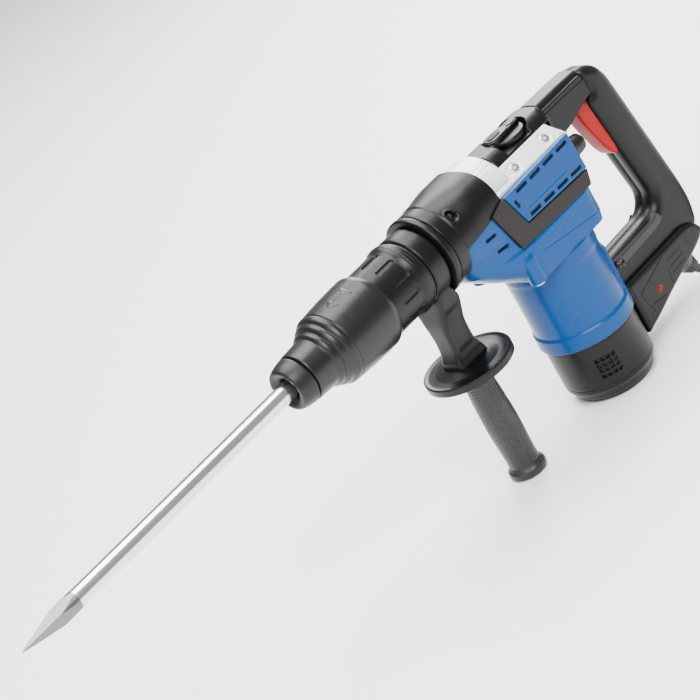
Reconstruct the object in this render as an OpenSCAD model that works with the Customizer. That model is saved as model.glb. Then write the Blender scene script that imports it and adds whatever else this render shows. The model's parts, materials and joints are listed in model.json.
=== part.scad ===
// Electric demolition hammer with a pointed chisel, built as separate pieces in one frame.
// The tool stands on its motor base and the end of the front grip. Units are mm, +Z is up,
// and the chisel points to -X. The origin is under the middle of the tool, on the floor.

/* [Overall] */
// Height of the hammer axis above the floor
axis_height = 234; // [205:1:280]
// Width of the rear handle bar
handle_width = 35; // [30:0.5:42]
// Radius of the motor housing
motor_radius = 47.5; // [42:0.5:54]

/* [Chisel] */
// Diameter of the chisel shank
chisel_diameter = 18; // [15:0.1:21.6]
// Length of chisel that shows in front of the dust cap
chisel_reach = 338; // [200:1:420]

/* [Hammer mechanism] */
// Diameter of the piston and the striker
piston_diameter = 32; // [27:0.1:38.4]
// Radius of the crank
crank_radius = 12; // [9:0.1:13]
// Play of a sliding fit, on the radius
fit_play = 0.05; // [0.02:0.01:0.08]

/* [Chuck and front grip] */
// Largest radius of the locking sleeve
sleeve_radius = 38; // [36.5:0.5:44]
// Diameter of the front grip
grip_diameter = 29; // [25:0.5:34]
// Diameter of the guard disc
guard_diameter = 88; // [74:1:104]

/* [Cord] */
// Diameter of the cord
cord_diameter = 9; // [8:0.5:10]

/* [Hidden] */
$fn = 64;
eps = 0.01;
tip_x = -62 - chisel_reach;
rear_x = 430;
mid_x = (tip_x + rear_x) / 2;
base_z = -axis_height;
drop = axis_height - 234;
motor_x = 256;
crank_x = 284;
idler_x = 226;
parting_z = -80;
cap_top = base_z + 64;
chisel_r = chisel_diameter / 2;
chisel_rear = 24;
piston_r = piston_diameter / 2;
tube_in = piston_r + fit_play;
tube_r = piston_r + 6;
bearing_r = tube_r + 4.5;
neck_r = bearing_r + 4.5;
barrel_r = bearing_r + 6.5;
band_r = neck_r + 4.7;
holder_r = chisel_r + 9;
roller_z = chisel_r + 1.2;
collar_r = sleeve_radius - 3.4;
grip_x = 117;
disc_z = -103;
wheel_at = [335, -15, -188];
boot_at = [384, 0, -185.3];
rod_length = 70;
wrist_x = crank_x - crank_radius - rod_length;
bar_half = handle_width / 2;
box_half = handle_width / 2 + 7;
stack_top = parting_z - 26;
stack_bottom = base_z + 82;
cord_r = cord_diameter / 2;
coil_radius = 50;
coil_thick = 17;
coil_centre = [578, -36];
// points the cord runs through, from the strain relief to the coil
cord_path = [
  [403.5, 0, 20.9], [407.8, 0, 15.8], [412.9, 0, 11.5], [418.7, 0, 8.2], [424.9, 0, 5.9], [430.2, 0, 4.9],
  [435, 0, 4.6], [444, 0, 4.6], [453, 0, 4.6], [462, 0, 4.6], [471, 0, 4.6], [481, 0, 4.6], [491, 0.1, 4.6],
  [500, 0.6, 4.6], [509, 2.2, 4.6], [518, 4.8, 4.6], [527, 7.8, 4.6], [536, 10.6, 4.8], [546, 12.8, 6],
  [556, 14, 8]
];
tail_path = [
  [590, 13.6, 8], [600, 14.6, 6.4], [609, 16.2, 5.6], [618, 18.4, 5.3], [627, 20.8, 5.6], [636, 23, 6.6],
  [645, 24.8, 8.4], [654, 26.2, 10.8], [663, 27.1, 13.2], [672, 27.5, 15.4], [681, 27.5, 16.9], [690, 27.5, 17.5]
];

module at_tool() {
  translate([-mid_x, 0, axis_height]) children();
}

module at_floor() {
  translate([-mid_x, 0, 0]) children();
}

// a round bar along X
module bar_x(x0, x1, r) {
  translate([x0, 0, 0]) rotate([0, 90, 0]) cylinder(h = x1 - x0, r = r);
}

module cone_x(x0, x1, r0, r1) {
  translate([x0, 0, 0]) rotate([0, 90, 0]) cylinder(h = x1 - x0, r1 = r0, r2 = r1);
}

module ring_x(x0, x1, outer, inner) {
  difference() {
    bar_x(x0, x1, outer);
    bar_x(x0 - 1, x1 + 1, inner);
  }
}

module bar_z(x, y, z0, z1, r) {
  translate([x, y, z0]) cylinder(h = z1 - z0, r = r);
}

module ring_z(x, y, z0, z1, outer, inner) {
  difference() {
    bar_z(x, y, z0, z1, outer);
    bar_z(x, y, z0 - 1, z1 + 1, inner);
  }
}

// a box given by its two corners
module box(a, b) {
  translate(a) cube([b[0] - a[0], b[1] - a[1], b[2] - a[2]]);
}

// a side outline given as [x, z], drawn out along Y
module side(points, y0, y1) {
  translate([0, y1, 0]) rotate([90, 0, 0]) linear_extrude(height = y1 - y0) polygon(points);
}

// a cross section given as [y, z], drawn out along X
module section(points, x0, x1) {
  translate([x0, 0, 0]) rotate([90, 0, 90]) linear_extrude(height = x1 - x0) polygon(points);
}

// a plan outline given as [x, y], drawn up along Z
module plan(points, z0, z1) {
  translate([0, 0, z0]) linear_extrude(height = z1 - z0) polygon(points);
}

// one coil spring along X, its turns as a stack of thin rings joined by a strip
module spring_x(x0, x1, r, wire, turns) {
  pitch = (x1 - x0 - wire) / turns;
  for (i = [0:turns])
    ring_x(x0 + i * pitch, x0 + i * pitch + wire, r, r - wire);
  translate([x0, -wire / 2, r - wire]) cube([x1 - x0, wire, wire * 0.8]);
}

// ---- chisel ----
module chisel() {
  color("silver") at_tool() difference() {
    union() {
      bar_x(tip_x + 62, chisel_rear - 1.5, chisel_r);
      cone_x(chisel_rear - 1.5, chisel_rear, chisel_r, chisel_r - 1.5);
      intersection() {
        bar_x(tip_x, tip_x + 62 + eps, chisel_r);
        translate([tip_x, 0, 0]) rotate([0, 90, 0]) rotate([0, 0, 45])
          cylinder(h = 80, r1 = 0.9, r2 = 19.5, $fn = 4);
      }
    }
    for (s = [-1, 1]) {
      bar_groove(s, -36, 0);
      translate([-14, s * (chisel_r - 2.4), -2.5]) cube([60, 4, 5]);
    }
  }
}

// a closed locking groove in the shank, on the top or the bottom
module bar_groove(s, x0, x1) {
  translate([0, 0, s * roller_z]) bar_x(x0, x1, 4.3);
}

// ---- chuck ----
module dust_cap() {
  color([0.1, 0.1, 0.1]) at_tool() difference() {
    union() {
      cone_x(-62, -57, 17.5, 22);
      cone_x(-57, -50, 22, 23.8);
      bar_x(-50, -44.5, 24);
      cone_x(-44.5, -44, 24, 23);
    }
    cone_x(-62 - eps, -59, chisel_r + 5, chisel_r + 1.2);
    bar_x(-63, -43, chisel_r + fit_play);
    bar_x(-52, -43, holder_r - 3);
  }
}

module tool_holder() {
  color([0.55, 0.56, 0.58]) at_tool() difference() {
    union() {
      bar_x(-52, -44, holder_r - 3);
      bar_x(-44, 50, holder_r);
      bar_x(50, 66, collar_r - 4.6);
    }
    bar_x(-53, 27, chisel_r + fit_play);
    bar_x(27 - eps, 67, chisel_r + 3 + fit_play);
    for (s = [-1, 1]) {
      translate([-32, 0, s * roller_z]) rotate([0, 90, 0]) cylinder(h = 18, r = 4);
      translate([-32, -4, s > 0 ? roller_z : -roller_z - 12]) cube([18, 8, 12]);
    }
  }
}

module locking_rollers() {
  color([0.7, 0.71, 0.73]) at_tool() for (s = [-1, 1])
    translate([-32, 0, s * roller_z]) rotate([0, 90, 0]) cylinder(h = 18, r = 4);
}

module locking_sleeve() {
  color([0.13, 0.13, 0.14]) at_tool() difference() {
    union() {
      cone_x(-43.7, -41.5, 23.4, 24.6);
      cone_x(-41.5, -18, 24.6, 25.6);
      cone_x(-18, -16.5, 25.6, 28.2);
      bar_x(-16.5, -13, 28.2);
      cone_x(-13, -11, 28.2, 31.6);
      bar_x(-11, -8, 31.6);
      cone_x(-8, -6, 31.6, 34.6);
      bar_x(-6, -3, 34.6);
      cone_x(-3, 0, 34.6, sleeve_radius - 1.5);
      cone_x(0, 46, sleeve_radius - 1.5, sleeve_radius);
      cone_x(46, 52, sleeve_radius, sleeve_radius - 2);
      bar_x(52, 56, sleeve_radius - 2);
      translate([14, 0, sleeve_radius - 1.6]) rotate([0, -2, 0]) arrow(1.5);
    }
    bar_x(-44, 57, holder_r + fit_play);
    bar_x(-44, -33.5, holder_r + 3.2);
    bar_x(-6, 57, collar_r - 4.5);
    bar_x(16, 57, collar_r + fit_play * 2);
  }
}

// a small raised arrow lying along X
module arrow(h) {
  linear_extrude(height = h) polygon([[0, -1.2], [12, -1.2], [12, -3.6], [19, 0], [12, 3.6], [12, 1.2], [0, 1.2]]);
}

module sleeve_spring() {
  color([0.6, 0.62, 0.64]) at_tool() spring_x(-5.7, 46, holder_r + 4.4, 2, 9);
}

module slotted_collar() {
  color([0.12, 0.12, 0.13]) at_tool() difference() {
    union() {
      bar_x(46, 90, collar_r);
      cone_x(90, 94, collar_r, collar_r + 2.2);
      bar_x(94, 99, collar_r + 2.2);
      cone_x(99, 101, collar_r + 2.2, collar_r + 0.8);
      bar_x(101, 104, collar_r + 0.8);
    }
    bar_x(50, 66, collar_r - 4.6);
    bar_x(66 - eps, 105, collar_r - 5);
    bar_x(45, 51, holder_r + 1);
    for (k = [0:11])
      rotate([30 * k + 3, 0, 0]) translate([67.5, -1, collar_r - 2.4]) cube([21, 2, 4]);
  }
}

// ---- spindle ----
module hammer_tube() {
  color([0.62, 0.63, 0.65]) at_tool() difference() {
    union() {
      bar_x(66, 210, tube_r);
      bar_x(66, 72, collar_r - 5);
    }
    bar_x(65, 211, tube_in);
    for (k = [0:3])
      rotate([90 * k + 45, 0, 0]) bar_z(162, 0, 10, 40, 2);
  }
}

module bevel_ring_gear() {
  color([0.5, 0.5, 0.52]) at_tool() difference() {
    union() {
      cone_x(205, 213, tube_r + 5, tube_r + 10);
      bar_x(202, 205, tube_r + 5);
    }
    bar_x(198, 214, tube_r);
    for (k = [0:23])
      rotate([15 * k, 0, 0]) translate([208.5, -1.1, tube_r + 3.5]) cube([6, 2.2, 9]);
  }
}

module striker() {
  color([0.66, 0.67, 0.69]) at_tool() difference() {
    union() {
      bar_x(106, 116, piston_r - 6);
      bar_x(116, 150, piston_r);
    }
    ring_x(141, 144, piston_r + 1, piston_r - 1.6);
  }
}

module impact_bolt() {
  color([0.6, 0.61, 0.63]) at_tool() {
    cone_x(30, 32, chisel_r + 1, chisel_r + 3);
    bar_x(32, 62, chisel_r + 3);
    bar_x(62, 88, chisel_r - 1);
  }
}

module piston() {
  color([0.75, 0.76, 0.78]) at_tool() difference() {
    bar_x(wrist_x - 30, wrist_x + 10, piston_r);
    ring_x(wrist_x - 24, wrist_x - 21, piston_r + 1, piston_r - 1.6);
    box([wrist_x - 12, -piston_r - 2, -8.4], [wrist_x + 11, piston_r + 2, 8.4]);
    translate([wrist_x, 0, -20]) cylinder(h = 40, r = 4);
  }
}

module wrist_pin() {
  color([0.7, 0.7, 0.72]) at_tool() bar_z(wrist_x, 0, -13, 13, 4);
}

module connecting_rod() {
  color([0.58, 0.58, 0.6]) at_tool() difference() {
    union() {
      bar_z(wrist_x, 0, -7.9, 7.9, 7.6);
      bar_z(wrist_x + rod_length, 0, -7.9, 7.9, 10);
      box([wrist_x + 3, -4, -6], [wrist_x + rod_length - 4, 4, 6]);
    }
    bar_z(wrist_x, 0, -9, 9, 4 + fit_play);
    bar_z(wrist_x + rod_length, 0, -9, 9, 5 + fit_play);
  }
}

module crank_gear() {
  color([0.5, 0.51, 0.53]) at_tool() difference() {
    union() {
      bar_z(crank_x, 0, -62, -32, 8);
      bar_z(crank_x, 0, -32, -22, 21.6);
      bar_z(crank_x, 0, -22, -10, 18);
      bar_z(crank_x - crank_radius, 0, -10, -8.3, 4.9);
    }
    for (k = [0:32])
      translate([crank_x, 0, -33]) rotate([0, 0, 360 * k / 33]) translate([20, -0.9, 0]) cube([4, 1.8, 12]);
    box([crank_x + 5, -20, -21], [crank_x + 20, 20, -9]);
  }
}

module idler_shaft() {
  color([0.52, 0.52, 0.54]) at_tool() difference() {
    union() {
      bar_z(idler_x, 0, -63.5, -35, 6);
      bar_z(idler_x, 0, -58, -46, 23.6);
      translate([idler_x, 0, -35]) cylinder(h = 9, r1 = 9.2, r2 = 6.4);
    }
    for (k = [0:35])
      translate([idler_x, 0, -59]) rotate([0, 0, 10 * k]) translate([22, -0.9, 0]) cube([4, 1.8, 14]);
    for (k = [0:9])
      translate([idler_x, 0, -36]) rotate([0, 0, 36 * k]) translate([6.6, -0.8, 0]) cube([4, 1.6, 12]);
  }
}

// ---- motor ----
module armature_shaft() {
  color([0.6, 0.6, 0.62]) at_tool() difference() {
    union() {
      bar_z(motor_x, 0, base_z + 20, -62, 6);
      bar_z(motor_x, 0, -62, -20, 5.8);
    }
    for (k = [0:8])
      translate([motor_x, 0, -61.9]) rotate([0, 0, 40 * k]) translate([4.6, -0.6, 0]) cube([3, 1.2, 43]);
  }
}

module armature_core() {
  color([0.42, 0.42, 0.44]) at_tool() difference() {
    union() {
      bar_z(motor_x, 0, stack_bottom, stack_top, motor_radius * 0.5);
      bar_z(motor_x, 0, stack_bottom - 7, stack_top + 7, motor_radius * 0.42);
    }
    bar_z(motor_x, 0, base_z, 0, 6);
    for (k = [0:11])
      translate([motor_x, 0, stack_bottom - 1]) rotate([0, 0, 30 * k])
        translate([motor_radius * 0.44, -1.2, 0]) cube([6, 2.4, stack_top - stack_bottom + 2]);
  }
}

module commutator() {
  color([0.72, 0.45, 0.25]) at_tool() difference() {
    bar_z(motor_x, 0, base_z + 46, base_z + 66, 13);
    bar_z(motor_x, 0, base_z + 45, base_z + 67, 6);
    for (k = [0:15])
      translate([motor_x, 0, base_z + 45]) rotate([0, 0, 22.5 * k]) translate([12, -0.4, 0]) cube([3, 0.8, 22]);
  }
}

module cooling_fan() {
  color([0.15, 0.15, 0.16]) at_tool() difference() {
    union() {
      ring_z(motor_x, 0, -96, -84.5, 12, 6);
      ring_z(motor_x, 0, -87, -84.5, motor_radius - 7, 6);
      for (k = [0:11])
        translate([motor_x, 0, -96]) rotate([0, 0, 30 * k]) translate([10, -1, 0])
          cube([motor_radius - 18, 2, 10]);
    }
  }
}

module stator_core() {
  color([0.38, 0.38, 0.4]) at_tool() difference() {
    bar_z(motor_x, 0, stack_bottom, stack_top, motor_radius - 4);
    bar_z(motor_x, 0, stack_bottom - 1, stack_top + 1, motor_radius * 0.5 + 0.8);
    for (s = [-1, 1])
      box([motor_x + s * (motor_radius - 9) - 6, -12, stack_bottom - 1],
          [motor_x + s * (motor_radius - 9) + 6, 12, stack_top + 1]);
  }
}

module stator_windings() {
  color([0.7, 0.4, 0.2]) at_tool() for (z = [stack_bottom - 7, stack_top])
    ring_z(motor_x, 0, z, z + 7, motor_radius * 0.8, motor_radius * 0.5 + 3);
}

module brush_holders() {
  color([0.65, 0.55, 0.3]) at_tool() for (s = [-1, 1]) difference() {
    box([motor_x - 7, s > 0 ? 15 : -41, base_z + 49], [motor_x + 7, s > 0 ? 41 : -15, base_z + 63]);
    box([motor_x - 4, s > 0 ? 14 : -40, base_z + 52], [motor_x + 4, s > 0 ? 40 : -14, base_z + 60]);
  }
}

module carbon_brushes() {
  color([0.16, 0.16, 0.17]) at_tool() for (s = [-1, 1])
    box([motor_x - 4, s > 0 ? 13 + fit_play : -34, base_z + 52],
        [motor_x + 4, s > 0 ? 34 : -13 - fit_play, base_z + 60]);
}

module drive_bearings() {
  color([0.68, 0.69, 0.71]) at_tool() {
    ring_z(motor_x, 0, base_z + 22, base_z + 32, 14, 6 + fit_play);
    ring_z(motor_x, 0, -76, -66, 16, 6 + fit_play);
    ring_z(crank_x, 0, -64, -54, 16, 8 + fit_play);
    ring_z(idler_x, 0, -64, -59, 13, 6 + fit_play);
  }
}

module motor_housing() {
  color([0.02, 0.25, 0.55]) at_tool() difference() {
    union() {
      bar_z(motor_x, 0, cap_top, parting_z, motor_radius);
      difference() {
        bar_z(motor_x, 0, cap_top, cap_top + 16, motor_radius + 2.2);
        box([motor_x + 20, -box_half, cap_top - 1], [motor_x + 70, box_half, cap_top + 18]);
      }
      bar_z(motor_x, 0, parting_z - 14, parting_z, motor_radius + 1);
    }
    bar_z(motor_x, 0, cap_top - 1, parting_z + 1, motor_radius - 4);
  }
}

module motor_end_cap() {
  color([0.12, 0.12, 0.13]) at_tool() difference() {
    union() {
      bar_z(motor_x, 0, base_z + 12, cap_top, motor_radius - 1);
      translate([motor_x, 0, base_z]) cylinder(h = 12, r1 = motor_radius - 9, r2 = motor_radius - 1);
    }
    difference() {
      bar_z(motor_x, 0, base_z + 5, cap_top + 1, motor_radius - 5);
      bar_z(motor_x, 0, base_z + 4, base_z + 32, 18);
      for (s = [-1, 1])
        box([motor_x - 5, s > 0 ? 17 : -motor_radius, base_z + 4], [motor_x + 5, s > 0 ? motor_radius : -17, base_z + 49]);
    }
    bar_z(motor_x, 0, base_z + 18, base_z + 33, 14);
    for (s = [-1, 1])
      for (i = [0:4])
        for (j = [0:3])
          translate([motor_x, 0, base_z + 30 + j * 9]) rotate([0, 0, s * 90 + (s > 0 ? 14 : -14) + (i - 2) * 11 * s])
            translate([motor_radius - 12, -2.4, 0]) cube([16, 4.8, 4.8]);
  }
}

// ---- gear case and covers ----
module barrel() {
  color([0.3, 0.3, 0.32]) at_tool() difference() {
    union() {
      bar_x(107, 128, neck_r);
      cone_x(128, 129.5, neck_r + 6, 41.3);
      bar_x(129.5, 137, 41.3);
      bar_x(137, 200, barrel_r);
    }
    bar_x(106, 201, bearing_r);
  }
}

module front_seal() {
  color([0.09, 0.09, 0.09]) at_tool() ring_x(104.4, 107, neck_r + 3, tube_r + fit_play);
}

module spindle_bearings() {
  color([0.68, 0.69, 0.71]) at_tool() {
    ring_x(108, 122, bearing_r, tube_r + fit_play);
    ring_x(180, 194, bearing_r, tube_r + fit_play);
  }
}

module nose_solid() {
  bar_x(137, 232, 41.5);
}

module front_cover() {
  color([0.13, 0.13, 0.14]) at_tool() difference() {
    intersection() {
      union() {
        nose_solid();
        section([[-44, 8], [-44, -6], [-40, -12], [40, -12], [44, -6], [44, 8], [40, 20], [-40, 20]], 168, 207);
      }
      side([[137, -45], [143, -45], [143, -5], [186, 2], [207, 9], [190, 45], [137, 45]], -50, 50);
    }
    bar_x(136, 208, barrel_r);
    case_solid();
    for (s = [-1, 1])
      translate([158, s * 32, 26]) rotate([-s * 51, 0, 0]) translate([0, 0, -8]) cylinder(h = 30, r = 4.2);
  }
}

// outside of the cast gear case, without its cavity
module case_solid() {
  difference() {
    union() {
      section([[-26, 24], [-42, 10], [-42, -76], [42, -76], [42, 10], [26, 24]], 206, 311);
      box([196, -40, -76], [206.01, 40, 9]);
      side([[190, 45], [206, 9], [206, -64], [232, -64], [232, 45]], -33, 33);
      intersection() {
        nose_solid();
        side([[190, 45], [206, 9], [232, 9], [232, 45]], -50, 50);
      }
    }
    box([304, -50, -90], [340, 50, -44]);
  }
}

module gear_housing() {
  color([0.85, 0.86, 0.87]) at_tool() difference() {
    intersection() {
      case_solid();
      union() {
        nose_solid();
        box([190, -60, -90], [340, 60, 24.001]);
      }
    }
    difference() {
      union() {
        box([200, -37, -64], [300, 37, 6]);
        box([299, -37, -40], [306.5, 37, 6]);
        box([206, -27, 5], [306.5, 27, 19]);
        bar_x(200, 228, 36);
      }
      bar_z(crank_x, 0, -65, -54, 19);
      bar_z(idler_x, 0, -65, -59, 16);
    }
    bar_x(180, 201, barrel_r);
    bar_z(motor_x, 0, -77, -63, 16);
    bar_z(crank_x, 0, -64, -53, 16);
    bar_z(idler_x, 0, -64, -53, 13);
    bar_z(278, 0, 20, 25, 6 + fit_play);
    for (s = [-1, 1]) bar_z(212, s * 27, -77, -63.9, 3);
    for (s = [-1, 1])
      for (x = [244, 290])
        translate([x, s * 34, 17]) rotate([-s * 41.2, 0, 0]) cylinder(h = 20, r = 3.2, center = true);
  }
}

module body_screws() {
  color([0.75, 0.76, 0.78]) at_tool() {
    for (s = [-1, 1])
      for (x = [244, 290])
        translate([x, s * 34, 17]) rotate([-s * 41.2, 0, 0]) difference() {
          union() {
            translate([0, 0, -9]) cylinder(h = 9.01, r = 3.2);
            cylinder(h = 3, r = 5);
          }
          for (k = [0:2]) rotate([0, 0, 60 * k]) translate([-2.4, -0.7, 1.2]) cube([4.8, 1.4, 3]);
        }
    for (s = [-1, 1]) bar_z(212, s * 27, -79.5, -64, 3);
  }
}

module top_cover() {
  color([0.13, 0.13, 0.14]) at_tool() difference() {
    union() {
      section([[-26, 24], [-22, 31], [-13, 35], [13, 35], [22, 31], [26, 24]], 232, 311.01);
      side([[311, -6], [329, -6], [336, 6], [376, 8], [376, 34], [356, 35], [311, 35]], -bar_half, bar_half);
    }
    translate([278, 0, 26]) cylinder(h = 20, r = 23.5);
    box([238, -19, 23], [248, 19, 31]);
    box([308, -13, 24], [346, 13, 31]);
    box([316, -13, -2], [326, 13, 24.01]);
    box([340, -13, 12], [377, 13, 30]);
    translate([278, 0, 23]) cylinder(h = 8, r = 6 + fit_play);
  }
}

module vent_side(s) {
  difference() {
    side([[207, 9], [219, -26], [308, -29], [306, 12]], s > 0 ? 42 : -48, s > 0 ? 48 : -42);
    for (i = [0:3])
      translate([223 + i * 20.5, s > 0 ? 41 : -49, 4 + i * 0.3]) cube([15, 8, 3]);
    for (i = [0:3])
      translate([225 + i * 20.5, s > 0 ? 41 : -49, -23 - i * 0.3]) cube([15, 8, 3]);
    translate([214, s > 0 ? 41 : -49, -7]) rotate([0, 17, 0]) cube([3, 8, 8]);
  }
  translate([225, s > 0 ? 47.99 : -48.6, -17]) cube([60, 0.61, 1.2]);
  translate([225, s > 0 ? 47.99 : -48.6, -17]) cube([1.2, 0.61, 12]);
}

module vent_cover_left() {
  color([0.02, 0.27, 0.58]) at_tool() vent_side(-1);
}

module vent_cover_right() {
  color([0.02, 0.27, 0.58]) at_tool() vent_side(1);
}

module band_side(s) {
  difference() {
    side([[207, 9], [186, 2], [200, -42], [304, -45], [308, -29], [219, -26]],
      s > 0 ? 40 : -47, s > 0 ? 47 : -40);
    case_solid();
    bar_x(136, 206, 41.5);
    section([[-44, 8], [-44, -6], [-40, -12], [40, -12], [44, -6], [44, 8], [40, 20], [-40, 20]], 168, 207);
  }
}

module side_bands() {
  color([0.2, 0.17, 0.15]) at_tool() for (s = [-1, 1]) band_side(s);
}

module gear_shroud() {
  color([0.02, 0.27, 0.58]) at_tool() difference() {
    intersection() {
      side([[143, -5], [143, -42], [172, -60], [196, -80], [309, -80], [309, -44], [304, -45],
        [200, -42], [186, 2]], -50, 50);
      union() {
        plan([[186, -45], [200, -47], [297, -47], [309, -36], [309, 36], [297, 47], [200, 47], [186, 45]], -81, 10);
        bar_x(137, 200, 41.5);
        plan([[143, -26], [190, -45], [190, 45], [143, 26]], -81, -20);
      }
    }
    bar_x(136, 201, barrel_r);
    case_solid();
    side([[152, -36], [172, -52], [190, -64], [190, -36]], -28, 28);
    bar_z(motor_x, 0, -81, -70, motor_radius - 4);
    for (s = [-1, 1])
      for (i = [0:1])
        translate([176 + i * 10, s > 0 ? 20 : -60, -14 - i * 20]) cube([12, 40, 2.6]);
    for (s = [-1, 1]) bar_z(212, s * 27, -90, -62, 3);
  }
}

module rear_bumpers() {
  color([0.1, 0.1, 0.1]) at_tool() for (s = [-1, 1])
    translate([311, s * 30, -12]) {
      bar_x(0, 14, 9.5);
      cone_x(14, 18, 9.5, 6);
    }
}

// ---- rear handle ----
module handle_outline() {
  difference() {
    union() {
      polygon([[376, 34], [390, 31.5], [402, 24], [409, 10], [412, -10], [428.5, -125 - drop], [430, -150 - drop],
        [425, -172 - drop], [412, -183 - drop], [396, -189 - drop], [350, -201.5 - drop], [322, -211 - drop],
        [280, -222 - drop], [280, -134 - drop], [372, -131 - drop], [383, -126 - drop], [388.5, -114 - drop],
        [378.5, -50], [371.5, 0], [376, 8]]);
    }
  }
}

module handle_solid() {
  difference() {
    union() {
      intersection() {
        translate([0, bar_half, 0]) rotate([90, 0, 0]) linear_extrude(height = 2 * bar_half) handle_outline();
        union() {
          box([340, -bar_half + 5, base_z], [450, bar_half - 5, 60]);
          side([[376, 29], [388, 26.5], [398, 20], [404, 8], [407, -10], [423.5, -125 - drop], [425, -150 - drop],
            [419, -170 - drop], [407, -180 - drop], [300, -208 - drop], [300, -139 - drop], [376, -136 - drop],
            [388, -130 - drop], [393.5, -114 - drop], [383.5, -50], [376.5, 0], [376, 5]], -bar_half, bar_half);
        }
      }
      intersection() {
        translate([0, box_half, 0]) rotate([90, 0, 0]) linear_extrude(height = 2 * box_half) handle_outline();
        side([[280, -158 - drop], [386, -158 - drop], [408, -176 - drop], [408, -200 - drop], [280, -230 - drop]],
          -box_half, box_half);
      }
    }
    bar_z(motor_x, 0, base_z - 1, -60, motor_radius);
    box([270, -60, base_z - 1], [motor_x + 20, 60, -60]);
  }
}

// space inside the handle for the switch, the electronics and the cord
module handle_hollow() {
  side([[384, 6], [396, 8], [402, -8], [416.5, -110 - drop], [400, -112 - drop], [392, -70], [382, -66], [371, -66],
    [364, -30], [366, 9]], -11, 11);
  side([[396, -100 - drop], [420, -100 - drop], [424, -150 - drop], [418, -168 - drop], [396, -182 - drop],
    [330, -199 - drop], [330, -164 - drop], [390, -162 - drop]], -11, 11);
  side([[326, -164 - drop], [384, -164 - drop], [400, -179 - drop], [396, -184.5 - drop], [326, -203.5 - drop]],
    -box_half + 3, box_half - 3);
  translate([0, 0, -drop]) {
    translate(boot_at) rotate([0, 145, 0]) translate([0, 0, -4]) cylinder(h = 16, r = 8);
    side([[352, -173], [354, -190], [319, -199], [316.5, -174]], -box_half - 1, -box_half + 1.6);
    translate([wheel_at[0], -box_half + 9.5, wheel_at[2]]) rotate([0, 45, 0])
      box([-4, -11, -10.2], [4, -5, 10.2]);
    for (i = [0:2]) box([357, -60, -173.2 - 7 * i], [378, 60, -170.8 - 7 * i]);
  }
}

// two lugs that hold the pin of the speed wheel
module wheel_lugs() {
  translate([wheel_at[0], -box_half + 9.5, wheel_at[2] - drop]) rotate([0, 45, 0]) difference() {
    for (t = [-6, 6]) box([t - 1, -6.55, -3], [t + 1, 3, 3]);
    bar_x(-10, 10, 1.5);
  }
}

module handle_half(s) {
  difference() {
    intersection() {
      handle_solid();
      box([280, s > 0 ? 0 : -60, base_z - 1], [450, s > 0 ? 60 : 0, 60]);
    }
    handle_hollow();
    translate([384, 0, -3]) rotate([90, 0, 0]) cylinder(h = 26, r = 2 + fit_play, center = true);
    for (p = [[392, 22], [423, -138 - drop], [316, -154 - drop]])
      translate([p[0], -60, p[1]]) rotate([-90, 0, 0]) cylinder(h = 120, r = 2);
    soft_grip_body();
  }
}

module handle_shell_left() {
  color([0.11, 0.11, 0.12]) at_tool() {
    handle_half(-1);
    wheel_lugs();
  }
}

module handle_shell_right() {
  color([0.11, 0.11, 0.12]) at_tool() handle_half(1);
}

// soft skin let into the lower inner side of the handle
module soft_grip_body() {
  side([[306, -133 - drop], [372, -130.9 - drop], [383, -125.9 - drop], [386, -120 - drop], [396, -123 - drop],
    [390, -138 - drop], [376, -146 - drop], [306, -148 - drop]], -bar_half - 1, -bar_half + 5);
  side([[306, -133 - drop], [372, -130.9 - drop], [383, -125.9 - drop], [386, -120 - drop], [396, -123 - drop],
    [390, -138 - drop], [376, -146 - drop], [306, -148 - drop]], bar_half - 5, bar_half + 1);
}

module soft_grip() {
  color([0.22, 0.22, 0.23]) at_tool() intersection() {
    soft_grip_body();
    union() {
      translate([0, bar_half, 0]) rotate([90, 0, 0]) linear_extrude(height = 2 * bar_half) handle_outline();
    }
  }
}

module handle_screws() {
  color([0.7, 0.71, 0.73]) at_tool() for (p = [[392, 22], [423, -138 - drop], [316, -154 - drop]])
    translate([p[0], -bar_half + 5, p[1]]) rotate([-90, 0, 0]) cylinder(h = 2 * bar_half - 10, r = 2);
}

module trigger() {
  color([0.75, 0.06, 0.07]) at_tool() difference() {
    union() {
      side([[356, 0], [359, 4], [367, 5.5], [376, 3.5], [388, -6], [388, -20], [384, -58], [381, -62], [374, -57],
        [369.5, -48], [361, -22]], -10.5, 10.5);
      translate([384, 0, -3]) rotate([90, 0, 0]) cylinder(h = 21, r = 5, center = true);
      translate([384, 0, -3]) rotate([90, 0, 0]) cylinder(h = 25.4, r = 2, center = true);
    }
    box([372, -7.5, -52], [395, 7.5, -16]);
  }
}

module trigger_spring() {
  color([0.6, 0.62, 0.64]) at_tool() translate([0, 0, -34]) spring_x(372.1, 393, 4, 1, 6);
}

module switch_module() {
  color([0.18, 0.18, 0.2]) at_tool() side([[391, -18], [402, -18], [414, -104 - drop], [402, -104 - drop], [393.56, -38]], -8, 8);
}

module speed_electronics() {
  color([0.1, 0.3, 0.15]) at_tool() {
    box([346, -box_half + 3, -186 - drop], [383, box_half - 3, -184 - drop]);
    box([352, -10, -184 - drop], [366, 10, -176 - drop]);
    box([370, -8, -184 - drop], [378, 8, -178 - drop]);
  }
}

module speed_wheel() {
  color([0.78, 0.07, 0.08]) at_tool() translate([wheel_at[0], -box_half + 9.5, wheel_at[2] - drop])
    rotate([0, 45, 0]) difference() {
      bar_x(-3, 3, 9);
      bar_x(-4, 4, 1.5 + fit_play);
      for (k = [0:17]) rotate([20 * k, 0, 0]) translate([-4, -0.5, 8.4]) cube([8, 1, 2]);
    }
}

module wheel_pin() {
  color([0.6, 0.6, 0.62]) at_tool() translate([wheel_at[0], -box_half + 9.5, wheel_at[2] - drop])
    rotate([0, 45, 0]) bar_x(-7, 7, 1.5);
}

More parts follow.
